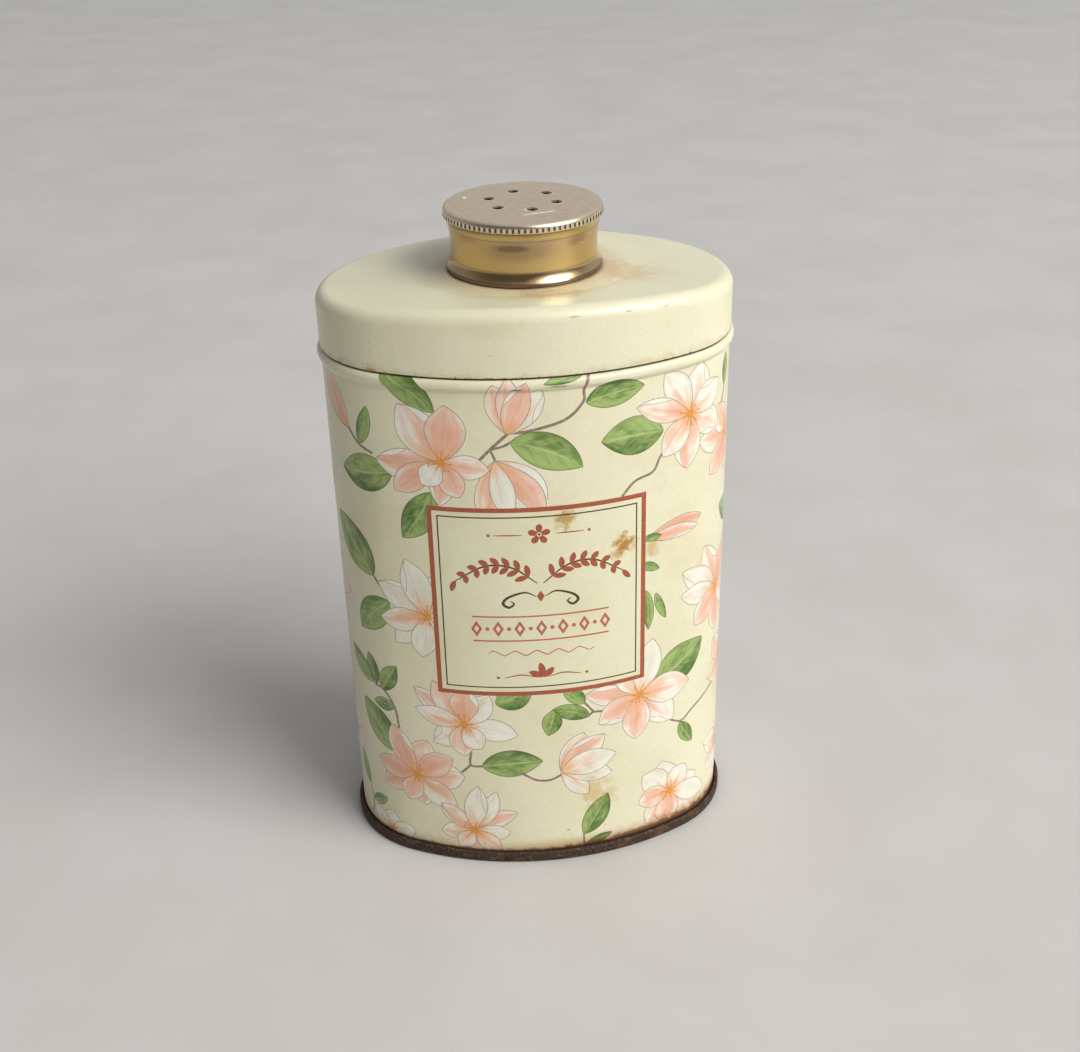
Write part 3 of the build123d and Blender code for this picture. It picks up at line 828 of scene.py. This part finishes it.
    def spot(self, x, y, at, reach, ragged=0.5, grain=None):
        """1 in the middle of a spot, fading to 0 at its ragged edge; the spots are stains, painted
        reflections and painted highlights.
        """
        dx, dy = (x - at[0]) / reach[0], (y - at[1]) / reach[1]
        away = self.length(dx, dy)
        if grain is not None:
            away = away + (grain - 0.5) * ragged
        return self.ramp(away, 1.0, 0.2)

    def bump(self, height, depth):
        """Add relief; the depth is in mm."""
        node = self.tree.nodes.new("ShaderNodeBump")
        node.inputs["Strength"].default_value = 1.0
        node.inputs["Distance"].default_value = depth * MM
        self.put(node.inputs["Height"], height)
        if self.bumps is not None:
            self.tree.links.new(self.bumps.socket, node.inputs["Normal"])
        self.bumps = Wire(self, node.outputs[0])

    def finish(self, colour, rough, metal=0.0, **constants):
        self.put(self.shader.inputs["Base Color"], colour)
        self.put(self.shader.inputs["Roughness"], rough)
        self.put(self.shader.inputs["Metallic"], metal)
        for name, value in constants.items():
            self.shader.inputs[name.replace("_", " ")].default_value = value
        if self.bumps is not None:
            self.tree.links.new(self.bumps.socket, self.shader.inputs["Normal"])
        return self.owner


def material(name):
    return Graph(bpy.data.materials.new(name))


# ---- inks and lacquer of the printed wall ----

DEEP_RUST = srgb(52, 30, 19)
# label stains and runs below the bud as (place, reach, strength, shade)
STAINS = [
    ((4.2, 84.4), (2.6, 3.2), 0.85, (206, 160, 84)),
    ((16.4, 76.8), (3.0, 2.9), 1.0, (204, 150, 70)),
    ((14.8, 74.6), (2.0, 1.5), 0.8, (214, 168, 92)),
    ((22.6, 73.8), (2.8, 2.4), 0.6, (220, 176, 104)),
    ((9.4, 16.6), (3.6, 5.4), 0.55, (222, 184, 104)),
    ((13.2, 16.0), (2.4, 4.6), 0.35, (222, 188, 112)),
    ((0.5, 3.0), (14.0, 3.0), 0.35, (220, 186, 120)),
]
# inks with little drawing in them, as (name, two shades, strength of the second, its scale)
FLAT_INKS = {
    "ground": ("ground", (231, 227, 198), (227, 222, 189), 0.6, 0.5),
    "petal_line": ("petal_line", (186, 158, 138), (152, 132, 118), 1.0, 1.6),
    "stamen": ("stamen", (222, 140, 62), (206, 122, 58), 1.0, 1.6),
    "anther": ("anther", (232, 166, 60), (190, 108, 50), 1.0, 1.6),
    "leaf_line": ("leaf_line", (86, 116, 52), (62, 92, 36), 1.0, 1.6),
    "stem": ("stem", (128, 112, 98), (158, 140, 118), 1.0, 1.1),
    "paper": ("paper", (230, 227, 196), (226, 222, 188), 0.5, 0.4),
    "frame_ink": ("terracotta", (174, 92, 60), (158, 78, 50), 1.0, 1.6),
    "dark_ink": ("umber", (96, 58, 38), (78, 46, 30), 1.0, 1.6),
    "wash_ink": ("rose", (194, 112, 88), (182, 98, 76), 1.0, 1.6),
}


def petal_paint(g, picture, wash, place):
    t, across, seed = g.split(picture)
    flush, lean, chance = g.split(wash)
    fine = g.noise(g.join(across * 1.7 + seed * 31, t * 1.1, seed * 17), 1.6, 2.0, 0.5)
    blotch = g.noise(g.join(across * 0.7 + seed * 13, t * 1.6, seed * 7), 1.5, 2.0)
    off = g.size(across - lean * 0.4)
    depth = flush * 1.2 - t * 0.45 - off * 0.5 + (fine - 0.5) * 1.1 + (blotch - 0.5) * 1.0
    rosy = g.ramp(depth, 0.0, 0.55)
    white = g.mix(g.ramp(blotch, 0.35, 0.7), srgb(243, 241, 229), srgb(229, 229, 214))
    peach = g.mix(g.ramp(depth, 0.35, 1.1), srgb(241, 201, 176), srgb(232, 172, 146))
    colour = g.mix(rosy, white, peach)
    colour = colour.over(g.ramp(t + (fine - 0.5) * 0.25, 0.34, 0.04) * 0.75, 238, 176, 118)
    rib = g.size(g.calc("FRACT", across * 1.6 + seed * 9 + (fine - 0.5) * 0.4) - 0.5)
    lines = g.ramp(rib, 0.05, 0.0) * g.ramp(t, 0.1, 0.35) * g.ramp(t, 1.0, 0.7) * 0.28
    colour = colour.over(lines, 200, 158, 138)
    edge = g.ramp(g.size(across), 0.6, 1.05) * 0.3
    colour = colour.over(edge * g.ramp(chance, 0.2, 0.8), 208, 192, 176)
    fold = g.ramp(g.size(across - lean * 0.3), 0.10, 0.0) * g.ramp(t, 0.95, 0.5) * 0.22
    return colour.over(fold, 206, 160, 138)


def leaf_paint(g, picture, wash, place):
    t, across, seed = g.split(picture)
    tone, side, chance = g.split(wash)
    fine = g.noise(g.join(across * 1.8 + seed * 23, t * 2.6, seed * 11), 1.9, 3.0, 0.55)
    patch = g.noise(g.join(across * 0.8 + seed * 5, t * 1.6, seed * 3), 1.7, 2.0)
    width = g.size(across)
    lit = 0.18 + tone * 0.3 + (fine - 0.5) * 1.1 + (patch - 0.5) * 1.7 + across * side * 0.34
    colour = g.mix(g.ramp(lit, -0.3, 0.75), srgb(80, 114, 46), srgb(168, 190, 114))
    vein = g.size(g.calc("FRACT", (t - width * 0.3) * 4.4 + seed) - 0.5)
    shade = g.calc("FRACT", (t - width * 0.3) * 4.4 + seed)
    colour = colour.over(g.ramp(shade, 0.0, 1.0, False) * g.ramp(width, 1.0, 0.5) * 0.3, 70, 108, 40)
    colour = colour.over(g.ramp(vein, 0.07, 0.0) * g.ramp(width, 1.0, 0.6) * 0.4, 178, 204, 128)
    colour = colour.over(g.ramp(width, 0.11, 0.02) * g.ramp(t, 1.0, 0.8) * 0.6, 186, 208, 140)
    return colour.over(g.ramp(width, 0.75, 1.05) * 0.4, 62, 98, 36)


def flat_paint(shade, other, amount, scale):
    def paint(g, picture, wash, place):
        grain = g.noise(place, scale, 3.0, 0.6)
        return g.mix(g.ramp(grain, 0.38, 0.64) * amount, srgb(*shade), srgb(*other))

    return paint


def heart_paint(g, picture, wash, place):
    far, _, seed = g.split(picture)
    grain = g.noise(place, 3.2, 2.0)
    return g.mix(g.ramp(far + (grain - 0.5) * 0.5, 0.05, 0.75), srgb(224, 150, 44), srgb(238, 182, 110))


def age_print(g, colour, rough, place):
    """Wear and stains of a printed wall, the same for every ink."""
    run, height, _ = g.split(place)
    grain = g.noise(place, 0.55, 5.0, 0.65)
    fine = g.noise(place, 2.6, 4.0, 0.65)
    colour = colour.tint(g.ramp(g.noise(place, 0.045, 3.0), 0.4, 0.72) * 0.2, 218, 204, 156)
    colour = colour.tint(g.ramp(fine, 0.3, 0.75) * 0.16, 196, 186, 150)

    # rust creeping up from the base seam, most at the front's right
    right = g.ramp(run, -20, 32) * g.ramp(run, 96, 60)
    creep = height - grain * (right * 2.1 + 2.1)
    colour = colour.tint(g.ramp(creep, 4.4, 1.0) * (right * 0.35 + 0.4), 196, 132, 58)
    colour = colour.over(g.ramp(creep, 2.2, 0.9) * 0.85, 96, 52, 24)
    colour = g.mix(g.ramp(height + (fine - 0.5) * 1.6, 3.0, 2.2) * 0.9, colour, DEEP_RUST)

    for at, reach, strength, shade in STAINS:
        colour = colour.tint(g.spot(run, height, at, reach, 2.6, grain) * strength, *shade)
    # rubbed bead
    worn = g.spot(run, height, (-4.6, 112.0), (1.8, 0.32), 0.9, fine)
    worn = g.most(worn, g.spot(run, height, (3.4, 112.4), (3.4, 0.28), 2.6, fine) * 0.75)
    colour = colour.over(worn * 0.9, 58, 74, 44)
    # pin holes of rust, and hairline scratches
    pits = g.specks(place, 0.16, 0.04, 0.2)
    pits = g.most(pits, g.specks(g.stretched(place, (1, 1, 1), 31), 0.42, 0.055, 0.1))
    pits = g.most(pits, g.spot(run, height, (3.7, 7.3), (0.6, 0.3), 0.6, fine))
    colour = colour.over(pits * 0.7, 132, 92, 54)
    scratch = g.noise(g.stretched(place, (0.16, 2.6, 1), 24), 1.0, 2.0, 0.5)
    scratch = g.ramp(scratch, 0.70, 0.735) * g.ramp(g.noise(place, 0.06, 1.0), 0.5, 0.62)
    colour = colour.over(scratch * 0.45, 240, 238, 220)
    rough = rough + (fine - 0.5) * 0.12 + g.ramp(height, 4.5, 1.6) * 0.35 + scratch * 0.15
    g.bump(fine, 0.012)
    g.bump(g.ramp(creep, 3.0, 1.2) * grain, 0.08)
    return colour, g.clamp(rough)


def printed(name, paint, rough=0.36):
    g = material(name)
    place = g.attribute("place")
    colour = paint(g, g.attribute("picture"), g.attribute("wash"), place)
    colour, rough = age_print(g, colour, rough, place)
    return g.finish(colour, rough, 0.0, Coat_Weight=0.12, Coat_Roughness=0.2)


def print_materials():
    inks = {
        "petal": printed("print_petal", petal_paint),
        "heart": printed("print_heart", heart_paint),
        "leaf": printed("print_leaf", leaf_paint),
    }
    for kind, (name, *paint) in FLAT_INKS.items():
        inks[kind] = printed("print_" + name, flat_paint(*paint))
    return inks


# ---- materials of the CAD pieces ----


def facing_out(g, at, normal):
    """1 on faces that look away from the tin's inside."""
    x, y, _ = g.split(at)
    nx, ny, nz = g.split(normal)
    sideways = x / HALF_LENGTH**2 * nx + y / HALF_DEPTH**2 * ny
    return g.ramp(sideways * 26 + nz, -0.02, 0.02)


def tinplate(name, rust):
    """Bare tinplate, dull, with crystals, scratches and some rust."""
    g = material(name)
    at = g.here()
    grain = g.noise(at, 0.35, 5.0, 0.65)
    fine = g.noise(at, 2.2, 4.0, 0.65)
    _, crystal = g.cells(at, 0.5)
    colour = g.mix(crystal * 0.5, srgb(186, 182, 172), srgb(160, 156, 148))
    rolled = g.noise(g.stretched(at, (0.05, 0.05, 2.0)), 1.0, 2.0)
    colour = colour.over(g.ramp(rolled, 0.4, 0.65) * 0.3, 140, 134, 124)
    rusty = g.ramp(grain + (fine - 0.5) * 0.25, 0.72 - rust * 0.5, 0.82 - rust * 0.5)
    colour = g.mix(rusty, colour, g.mix(fine, DEEP_RUST, srgb(134, 80, 42)))
    g.bump(fine, 0.02)
    g.bump(rusty * grain, 0.06)
    return g.finish(colour, g.clamp(0.34 + rusty * 0.4 + (fine - 0.5) * 0.15), 1.0 - rusty * 0.85)


def rusted_base():
    """Base end: its seam is nearly all rust; the recessed panel keeps some bright tin."""
    g = material("base_rusted_tin")
    at = g.here()
    x, y, _ = g.split(at)
    grain = g.noise(at, 0.28, 5.0, 0.68)
    fine = g.noise(at, 1.9, 5.0, 0.7)
    reach = g.length(x / HALF_LENGTH, y / HALF_DEPTH)
    seam = g.ramp(reach, 0.93, 0.99)
    cover = g.clamp(g.ramp(grain + (fine - 0.5) * 0.3, 0.46, 0.6) + seam * g.ramp(fine, 0.2, 0.42))
    bare = g.mix(g.ramp(fine, 0.35, 0.65), srgb(170, 162, 148), srgb(132, 122, 108))
    brown = g.mix(g.ramp(fine, 0.4, 0.64), srgb(34, 25, 18), srgb(84, 62, 44))
    brown = brown.over(g.ramp(g.noise(at, 0.16, 4.0), 0.52, 0.7) * 0.5, 128, 82, 48)
    brown = brown.over(g.ramp(g.noise(at, 1.1, 4.0, 0.7), 0.56, 0.66) * 0.4, 150, 130, 100)
    colour = g.mix(cover, bare, brown)
    g.bump(fine * cover, 0.1)
    g.bump(grain, 0.06)
    return g.finish(colour, g.clamp(0.4 + cover * 0.28 + (fine - 0.5) * 0.3), g.clamp(0.95 - cover * 0.7))


def cream_shoulder():
    """Cream lacquer outside, dull tin inside, with a dirty lower edge and a ring round the sifter."""
    g = material("cream_lacquer")
    at = g.here()
    x, y, z = g.split(at)
    outside = facing_out(g, at, g.normal())
    grain = g.noise(at, 0.4, 5.0, 0.65)
    fine = g.noise(at, 2.4, 4.0, 0.65)
    slow = g.noise(at, 0.05, 3.0)
    colour = g.mix(g.ramp(slow, 0.35, 0.7) * 0.5, srgb(230, 226, 197), srgb(223, 218, 185))
    colour = colour.tint(g.ramp(fine, 0.35, 0.75) * 0.14, 200, 190, 150)

    # brownish ring and smudges round the boss, and painted contact shade at the sifter's foot
    away = g.length(x, y)
    halo = g.ramp(away + (grain - 0.5) * 5.0, 23.0, 16.0) * g.ramp(z, 118.0, 120.0)
    colour = colour.tint(halo * 0.42, 206, 176, 122)
    near = g.spot(x, y, (3.0, -18.0), (9.5, 3.0), 1.6, grain) * g.ramp(z, 118.0, 120.0)
    colour = colour.tint(near * 0.42, 200, 160, 106)
    near = g.spot(x, y, (19.0, -6.0), (12.0, 8.0), 1.4, grain) * g.ramp(z, 118.0, 120.0)
    colour = colour.tint(near * 0.4, 214, 182, 136)
    # painted shade: a dark ring where the sifter's foot meets the shoulder
    contact_shade = g.ramp(away + (grain - 0.5) * 1.2, 15.9, 15.2)
    colour = colour.over(contact_shade * 0.6, 96, 72, 44)

    # faint bruise across the front of the rounded edge
    bruise = g.spot(x, z, (-9.0, 124.0), (11.0, 3.2), 1.4, grain) * g.ramp(y, -14, -20)
    colour = colour.tint(bruise * 0.16, 204, 190, 150)

    # ragged dark line and rust along the lower edge
    edge = z - SKIRT_Z
    stain = g.ramp(edge - (grain - 0.45) * 5.0, 1.4, -0.2)
    colour = colour.tint(stain * 0.3, 206, 176, 124)
    bite = g.ramp(edge - g.ramp(g.noise(at, 1.3, 5.0, 0.75), 0.55, 0.78) * 0.7, 0.2, 0.04)
    colour = colour.over(bite * 0.96, 46, 30, 20)
    rust = g.spot(x, edge, (-31.4, 0.2), (1.5, 0.8), 1.6, fine) * g.ramp(y, 0, -4)
    rust = g.most(rust, g.spot(x, edge, (-28.6, 0.1), (0.7, 0.5), 1.4, fine) * g.ramp(y, 0, -4))
    colour = colour.over(rust * 0.8, 184, 124, 52)

    # nicks along the rounded front edge, then pits and hairline scratches
    nicks = (((6.6, 125.5), (1.6, 0.3)), ((16.9, 125.3), (1.0, 0.34)), ((24.4, 124.9), (0.8, 0.3)))
    for place, reach in nicks:
        nick = g.spot(x, z, place, reach, 1.5, fine) * g.ramp(y, -15, -18)
        colour = colour.over(nick * 0.45, 110, 112, 70)
    pits = g.most(g.specks(at, 0.14, 0.035, 0.3), g.specks(g.stretched(at, (1, 1, 1), 40), 0.36, 0.05, 0.06))
    pits = g.most(pits, g.specks(at, 0.5, 0.07, 0.3) * g.spot(x, y, (24, -8), (12, 8), 0.8, grain))
    colour = colour.over(pits * 0.7, 126, 92, 58)
    scratch = g.noise(g.stretched(at, (0.14, 2.4, 1), -18), 1.0, 2.0, 0.5)
    scratch = g.ramp(scratch, 0.69, 0.725) * g.ramp(g.noise(at, 0.05, 1.0), 0.5, 0.6)
    colour = colour.over(scratch * 0.35, 160, 150, 118)

    inner = g.mix(g.ramp(grain, 0.35, 0.7), srgb(176, 170, 158), srgb(140, 130, 116))
    colour = g.mix(outside, inner, colour)
    g.bump(fine, 0.014)
    g.bump(g.noise(at, 0.09, 2.0), 0.12)
    rough = 0.34 + (fine - 0.5) * 0.12 + bite * 0.4 + stain * 0.1 + scratch * 0.15
    return g.finish(colour, g.clamp(rough), (1 - outside) * 0.9, Coat_Weight=0.12, Coat_Roughness=0.18)


SHELL_FOOT_Z = 127.8
HOLES = 6
HOLE_CIRCLE = 6.7
HOLE_RADIUS = 1.1
HOLE_TURN = 40.5 / 60        # as a share of the step from hole to hole


def gold_shell():
    """Gold anodised aluminium: polished foot, soft barrel, satin champagne disc."""
    g = material("gold_anodised")
    at = g.here()
    x, y, z = g.split(at)
    nx, ny, nz = g.split(g.normal())
    away = g.length(x, y)
    up = z - SHELL_FOOT_Z
    turn = g.calc("ARCTAN2", y, x)
    grain = g.noise(at, 0.6, 4.0, 0.6)
    fine = g.noise(at, 3.0, 4.0, 0.65)
    outside = g.ramp(x / 15 * nx + y / 15 * ny + nz, -0.02, 0.02)
    disc = g.ramp(up, 11.8, 12.1)
    barrel = g.mix(g.ramp(up, 2.4, 8.6), srgb(216, 184, 118), srgb(202, 170, 130))
    colour = g.mix(g.ramp(up, 2.75, 2.5), barrel, srgb(206, 176, 132))
    colour = colour.over(g.ramp(up, 0.8, 0.6), 138, 116, 100)
    colour = colour.over(g.ramp(up, 8.5, 8.9), 196, 174, 124)
    colour = colour.over(g.ramp(up, 10.3, 10.6), 236, 220, 190)
    satin = g.mix(g.ramp(grain, 0.35, 0.68), srgb(247, 228, 202), srgb(240, 218, 188))
    colour = g.mix(disc, colour, satin)
    colour = colour.over(g.ramp(fine, 0.45, 0.8) * 0.1, 160, 130, 90)
    # dark soft reflections painted on the front of the barrel
    dark_reflection = g.spot(turn, up, (-1.83, 7.3), (0.30, 0.9), 0.35, grain) * 0.8
    dark_reflection = dark_reflection + g.spot(turn, up, (-1.80, 6.6), (0.62, 2.8), 0.5, grain) * 0.5
    dark_reflection = dark_reflection + g.spot(turn, up, (-0.90, 7.7), (0.26, 1.5), 0.5, grain) * 0.5
    dark_reflection = dark_reflection + g.spot(turn, up, (-2.5, 8.1), (0.30, 1.2), 0.5, grain) * 0.35
    colour = colour.over(g.clamp(dark_reflection) * 0.66, 88, 70, 56)

    # spun lines on the barrel, rubbing on the disc
    spun = g.noise(g.join(turn * 0.5, 0.0, up * 5.0), 1.2, 2.0, 0.6)
    rubbed = g.noise(g.stretched(at, (0.12, 1.7, 1), 12), 1.0, 3.0, 0.6)
    dirt = g.ramp(g.noise(at, 0.7, 4.0, 0.7), 0.55, 0.7)
    # painted shade: dark lines along the two creases of the profile
    crease_shade = g.clamp(g.ramp(g.size(up - 2.6), 0.14, 0.03) + g.ramp(g.size(up - 8.6), 0.14, 0.03))
    colour = colour.over(crease_shade * 0.5, 92, 66, 36)
    foot_dirt = g.ramp(up, 0.5, 0.1) * dirt
    colour = colour.over(foot_dirt * 0.7, 70, 48, 30)
    # painted shade in the knurl's grooves, which are also made rougher
    between = g.ramp(away, 15.54, 15.44) * g.ramp(up, 10.5, 10.6) * g.ramp(up, 11.4, 11.3)
    colour = colour.over(between * 0.8, 58, 42, 26)

    # worn white scratch at the front right of the disc and a few thin ones beside it, with painted highlights
    # on the stop dimple and on each hole's rim
    scratch_and_highlight = g.ramp(g.size(y + 9.1 - (x - 2.2) * 0.26 + (fine - 0.5) * 0.5), 0.34, 0.1)
    scratch_and_highlight = scratch_and_highlight * g.ramp(x, -1.2, -0.2) * g.ramp(x, 5.8, 5.0) * disc
    # painted highlight: a pale spot on the stop dimple
    scratch_and_highlight = g.most(scratch_and_highlight, g.spot(x, y, (-10.86, 4.61), (0.75, 0.75), 0.3, fine) * disc)
    short = g.ramp(g.size(y + 6.6 + (x - 1.2) * 0.14 + (fine - 0.5) * 0.6), 0.3, 0.1)
    scratch_and_highlight = g.most(scratch_and_highlight, short * g.ramp(x, -0.6, -0.2) * g.ramp(x, 2.4, 1.8) * disc)
    for i in range(HOLES):
        turn_ = 2 * math.pi * (i + HOLE_TURN) / HOLES
        dx, dy = x - HOLE_CIRCLE * math.cos(turn_), y - HOLE_CIRCLE * math.sin(turn_)
        from_hole = g.length(dx, dy)
        # painted highlight: a white crescent on the front side of each hole's rim
        lip = g.ramp(from_hole, HOLE_RADIUS + 0.32, HOLE_RADIUS + 0.12) * g.ramp(dy, 0.2, -0.5)
        scratch_and_highlight = g.most(scratch_and_highlight, lip * disc * 0.7)
    thin = g.ramp(g.noise(g.stretched(at, (0.1, 1.9, 1), 34), 1.0, 2.0), 0.68, 0.72) * disc
    side = g.ramp(g.noise(g.join(turn * 6.0, 0.0, up * 0.5), 2.2, 2.0, 0.55), 0.70, 0.74)
    side = side * g.ramp(up, 3.0, 4.0) * g.ramp(up, 9.0, 8.0) * g.ramp(x, 2, 9)
    colour = colour.over(g.clamp(scratch_and_highlight + thin * 0.3 + side * 0.6), 252, 248, 238)
    pits = g.specks(at, 0.55, 0.07, 0.16)
    colour = colour.over(pits * 0.6, 96, 74, 48)
    colour = g.mix(outside, srgb(184, 182, 176), colour)

    polish = g.ramp(up, 2.8, 2.5)
    rough = 0.24 - polish * 0.14 + disc * 0.14 + (spun - 0.5) * 0.08 + (fine - 0.5) * 0.06
    rough = rough + between * 0.2 + foot_dirt * 0.3
    g.bump(spun * (1 - disc) * (1 - polish), 0.008)
    g.bump(rubbed * disc, 0.012)
    g.bump(scratch_and_highlight + thin * 0.3, -0.03)
    return g.finish(colour, g.clamp(rough + polish * 0.04), g.clamp(0.96 - scratch_and_highlight * 0.8 - side * 0.5))


def polythene(name, shade, other):
    """Milky moulded plastic with patches of powder."""
    g = material(name)
    at = g.here()
    grain = g.noise(at, 0.5, 4.0, 0.6)
    fine = g.noise(at, 2.6, 3.0)
    colour = g.mix(g.ramp(grain, 0.35, 0.7), shade, other)
    powder = g.ramp(g.noise(at, 1.4, 5.0, 0.7), 0.5, 0.64)
    colour = colour.over(powder * 0.45, 246, 244, 238)
    g.bump(fine, 0.02)
    g.bump(powder, 0.03)
    rough = 0.42 + powder * 0.35 + (fine - 0.5) * 0.1
    return g.finish(colour, g.clamp(rough), 0.0, Subsurface_Weight=0.05)


def compound():
    """Rubbery lining compound."""
    g = material("lining_compound")
    at = g.here()
    grain = g.noise(at, 1.2, 4.0)
    fine = g.noise(at, 5.0, 3.0)
    colour = g.mix(g.ramp(grain, 0.35, 0.7), srgb(120, 116, 108), srgb(86, 78, 68))
    g.bump(fine, 0.01)
    return g.finish(colour, g.clamp(0.6 + (fine - 0.5) * 0.2))


LOOKS = {
    "body_shell": tinplate("tin_body_plate", 0.22),
    "base_end": rusted_base(),
    "seam_compound": compound(),
    "shoulder_cover": cream_shoulder(),
    "neck_plug": polythene("plug_polythene", srgb(226, 224, 212), srgb(214, 210, 196)),
    "rotor_liner": polythene("liner_polythene", srgb(224, 220, 206), srgb(210, 204, 188)),
    "sifter_shell": gold_shell(),
}
for name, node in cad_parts.items():
    node.data.materials.clear()
    node.data.materials.append(LOOKS[name])

front = front_spray()
shifted = [shape.moved(side * HALF_ROUND) for side in (-1, 1) for shape in front]
extra = [shape.moved(side * HALF_ROUND) for side in (-1, 1) for shape in back_spray()]
label_shapes = label()
inks = print_materials()
STRIPS = {
    "print_front": (-36.0, 36.0),
    "print_right": (36.0, 72.0),
    "print_left": (-72.0, -36.0),
    "print_back_right": (72.0, HALF_ROUND - BARE_STRIP),
    "print_back_left": (-HALF_ROUND + BARE_STRIP, -72.0),
}
for name, (left, right) in STRIPS.items():
    back = [shape for shape in shifted if abs(shape.home) > BACK_START]
    skin_piece(name, left, right, back + extra + front + label_shapes, inks)

# ---- camera, floor and light ----

VIEW_TURN = math.radians(-5.48)
VIEW_PITCH = math.radians(27.85)
VIEW_ROLL = math.radians(1.53)
VIEW_DISTANCE = 320.3
VIEW_CENTRE = Vector((1.68, 0, 69.2))


def make_camera():
    forward = Vector((0, math.cos(VIEW_PITCH), -math.sin(VIEW_PITCH)))
    up = Vector((0, math.sin(VIEW_PITCH), math.cos(VIEW_PITCH)))
    right = Vector((1, 0, 0))
    rolled_right = right * math.cos(VIEW_ROLL) - up * math.sin(VIEW_ROLL)
    rolled_up = right * math.sin(VIEW_ROLL) + up * math.cos(VIEW_ROLL)
    axes = Matrix((rolled_right, rolled_up, -forward)).transposed().to_4x4()
    place = (VIEW_CENTRE - forward * VIEW_DISTANCE) * MM
    data = bpy.data.cameras.new("camera")
    data.lens = 49.65
    data.sensor_width = 36
    data.clip_start = 0.01
    camera = placed("camera", data)
    camera.matrix_world = Matrix.Rotation(VIEW_TURN, 4, "Z") @ Matrix.Translation(place) @ axes
    bpy.context.scene.camera = camera


def make_floor():
    g = material("floor_pale")
    at = g.here()
    grain = g.noise(at, 0.02, 3.0)
    colour = g.mix(g.ramp(grain, 0.3, 0.7), srgb(205, 203, 200), srgb(200, 197, 193))
    half = 4                     # m
    corners = [(-half, -half, 0), (half, -half, 0), (half, half, 0), (-half, half, 0)]
    mesh = bpy.data.meshes.new("floor")
    mesh.from_pydata(corners, [], [(0, 1, 2, 3)])
    mesh.materials.append(g.finish(colour, 0.85))
    placed("floor", mesh)


def make_window():
    """The one lamp: a large soft window high on the front right."""
    data = bpy.data.lights.new("window", "AREA")
    data.shape = "RECTANGLE"
    data.size, data.size_y = 1.7, 1.5
    data.energy = 52
    data.color = (1.0, 0.988, 0.972)
    light = placed("window", data)
    light.location = (1.6, -1.35, 1.65)
    towards = Vector((0, 0, 0.06)) - light.location
    light.rotation_euler = towards.to_track_quat("-Z", "Y").to_euler()


def make_world():
    """Pale room behind the tin and overhead, dim in front of it and on its left."""
    world = bpy.data.worlds.new("studio")
    g = Graph(world)
    x, y, z = g.split(Wire(g, g.tree.nodes.new("ShaderNodeTexCoord").outputs["Generated"]))
    behind = g.ramp(y, -0.55, 0.5)
    above = g.ramp(z, 0.55, 0.95)
    colour = g.mix(behind, (0.13, 0.12, 0.11), (0.74, 0.75, 0.77))
    colour = g.mix(above * 0.8, colour, (0.66, 0.70, 0.76))
    colour = g.mix(g.ramp(x, 0.2, -0.8) * 0.5, colour, (0.16, 0.15, 0.14))
    # glow round the window
    toward = x * 0.61 - y * 0.51 + z * 0.6
    colour = g.mix(g.ramp(toward, 0.72, 0.94) * 0.85, colour, (1.5, 1.47, 1.42))
    colour = g.mix(g.ramp(toward, 0.86, 0.95), colour, (3.6, 3.55, 3.45))
    background = g.tree.nodes["Background"]
    g.put(background.inputs["Color"], colour)
    background.inputs["Strength"].default_value = 0.62
    bpy.context.scene.world = world


make_camera()
make_floor()
make_window()
make_world()
bpy.context.scene.view_settings.view_transform = "Standard"
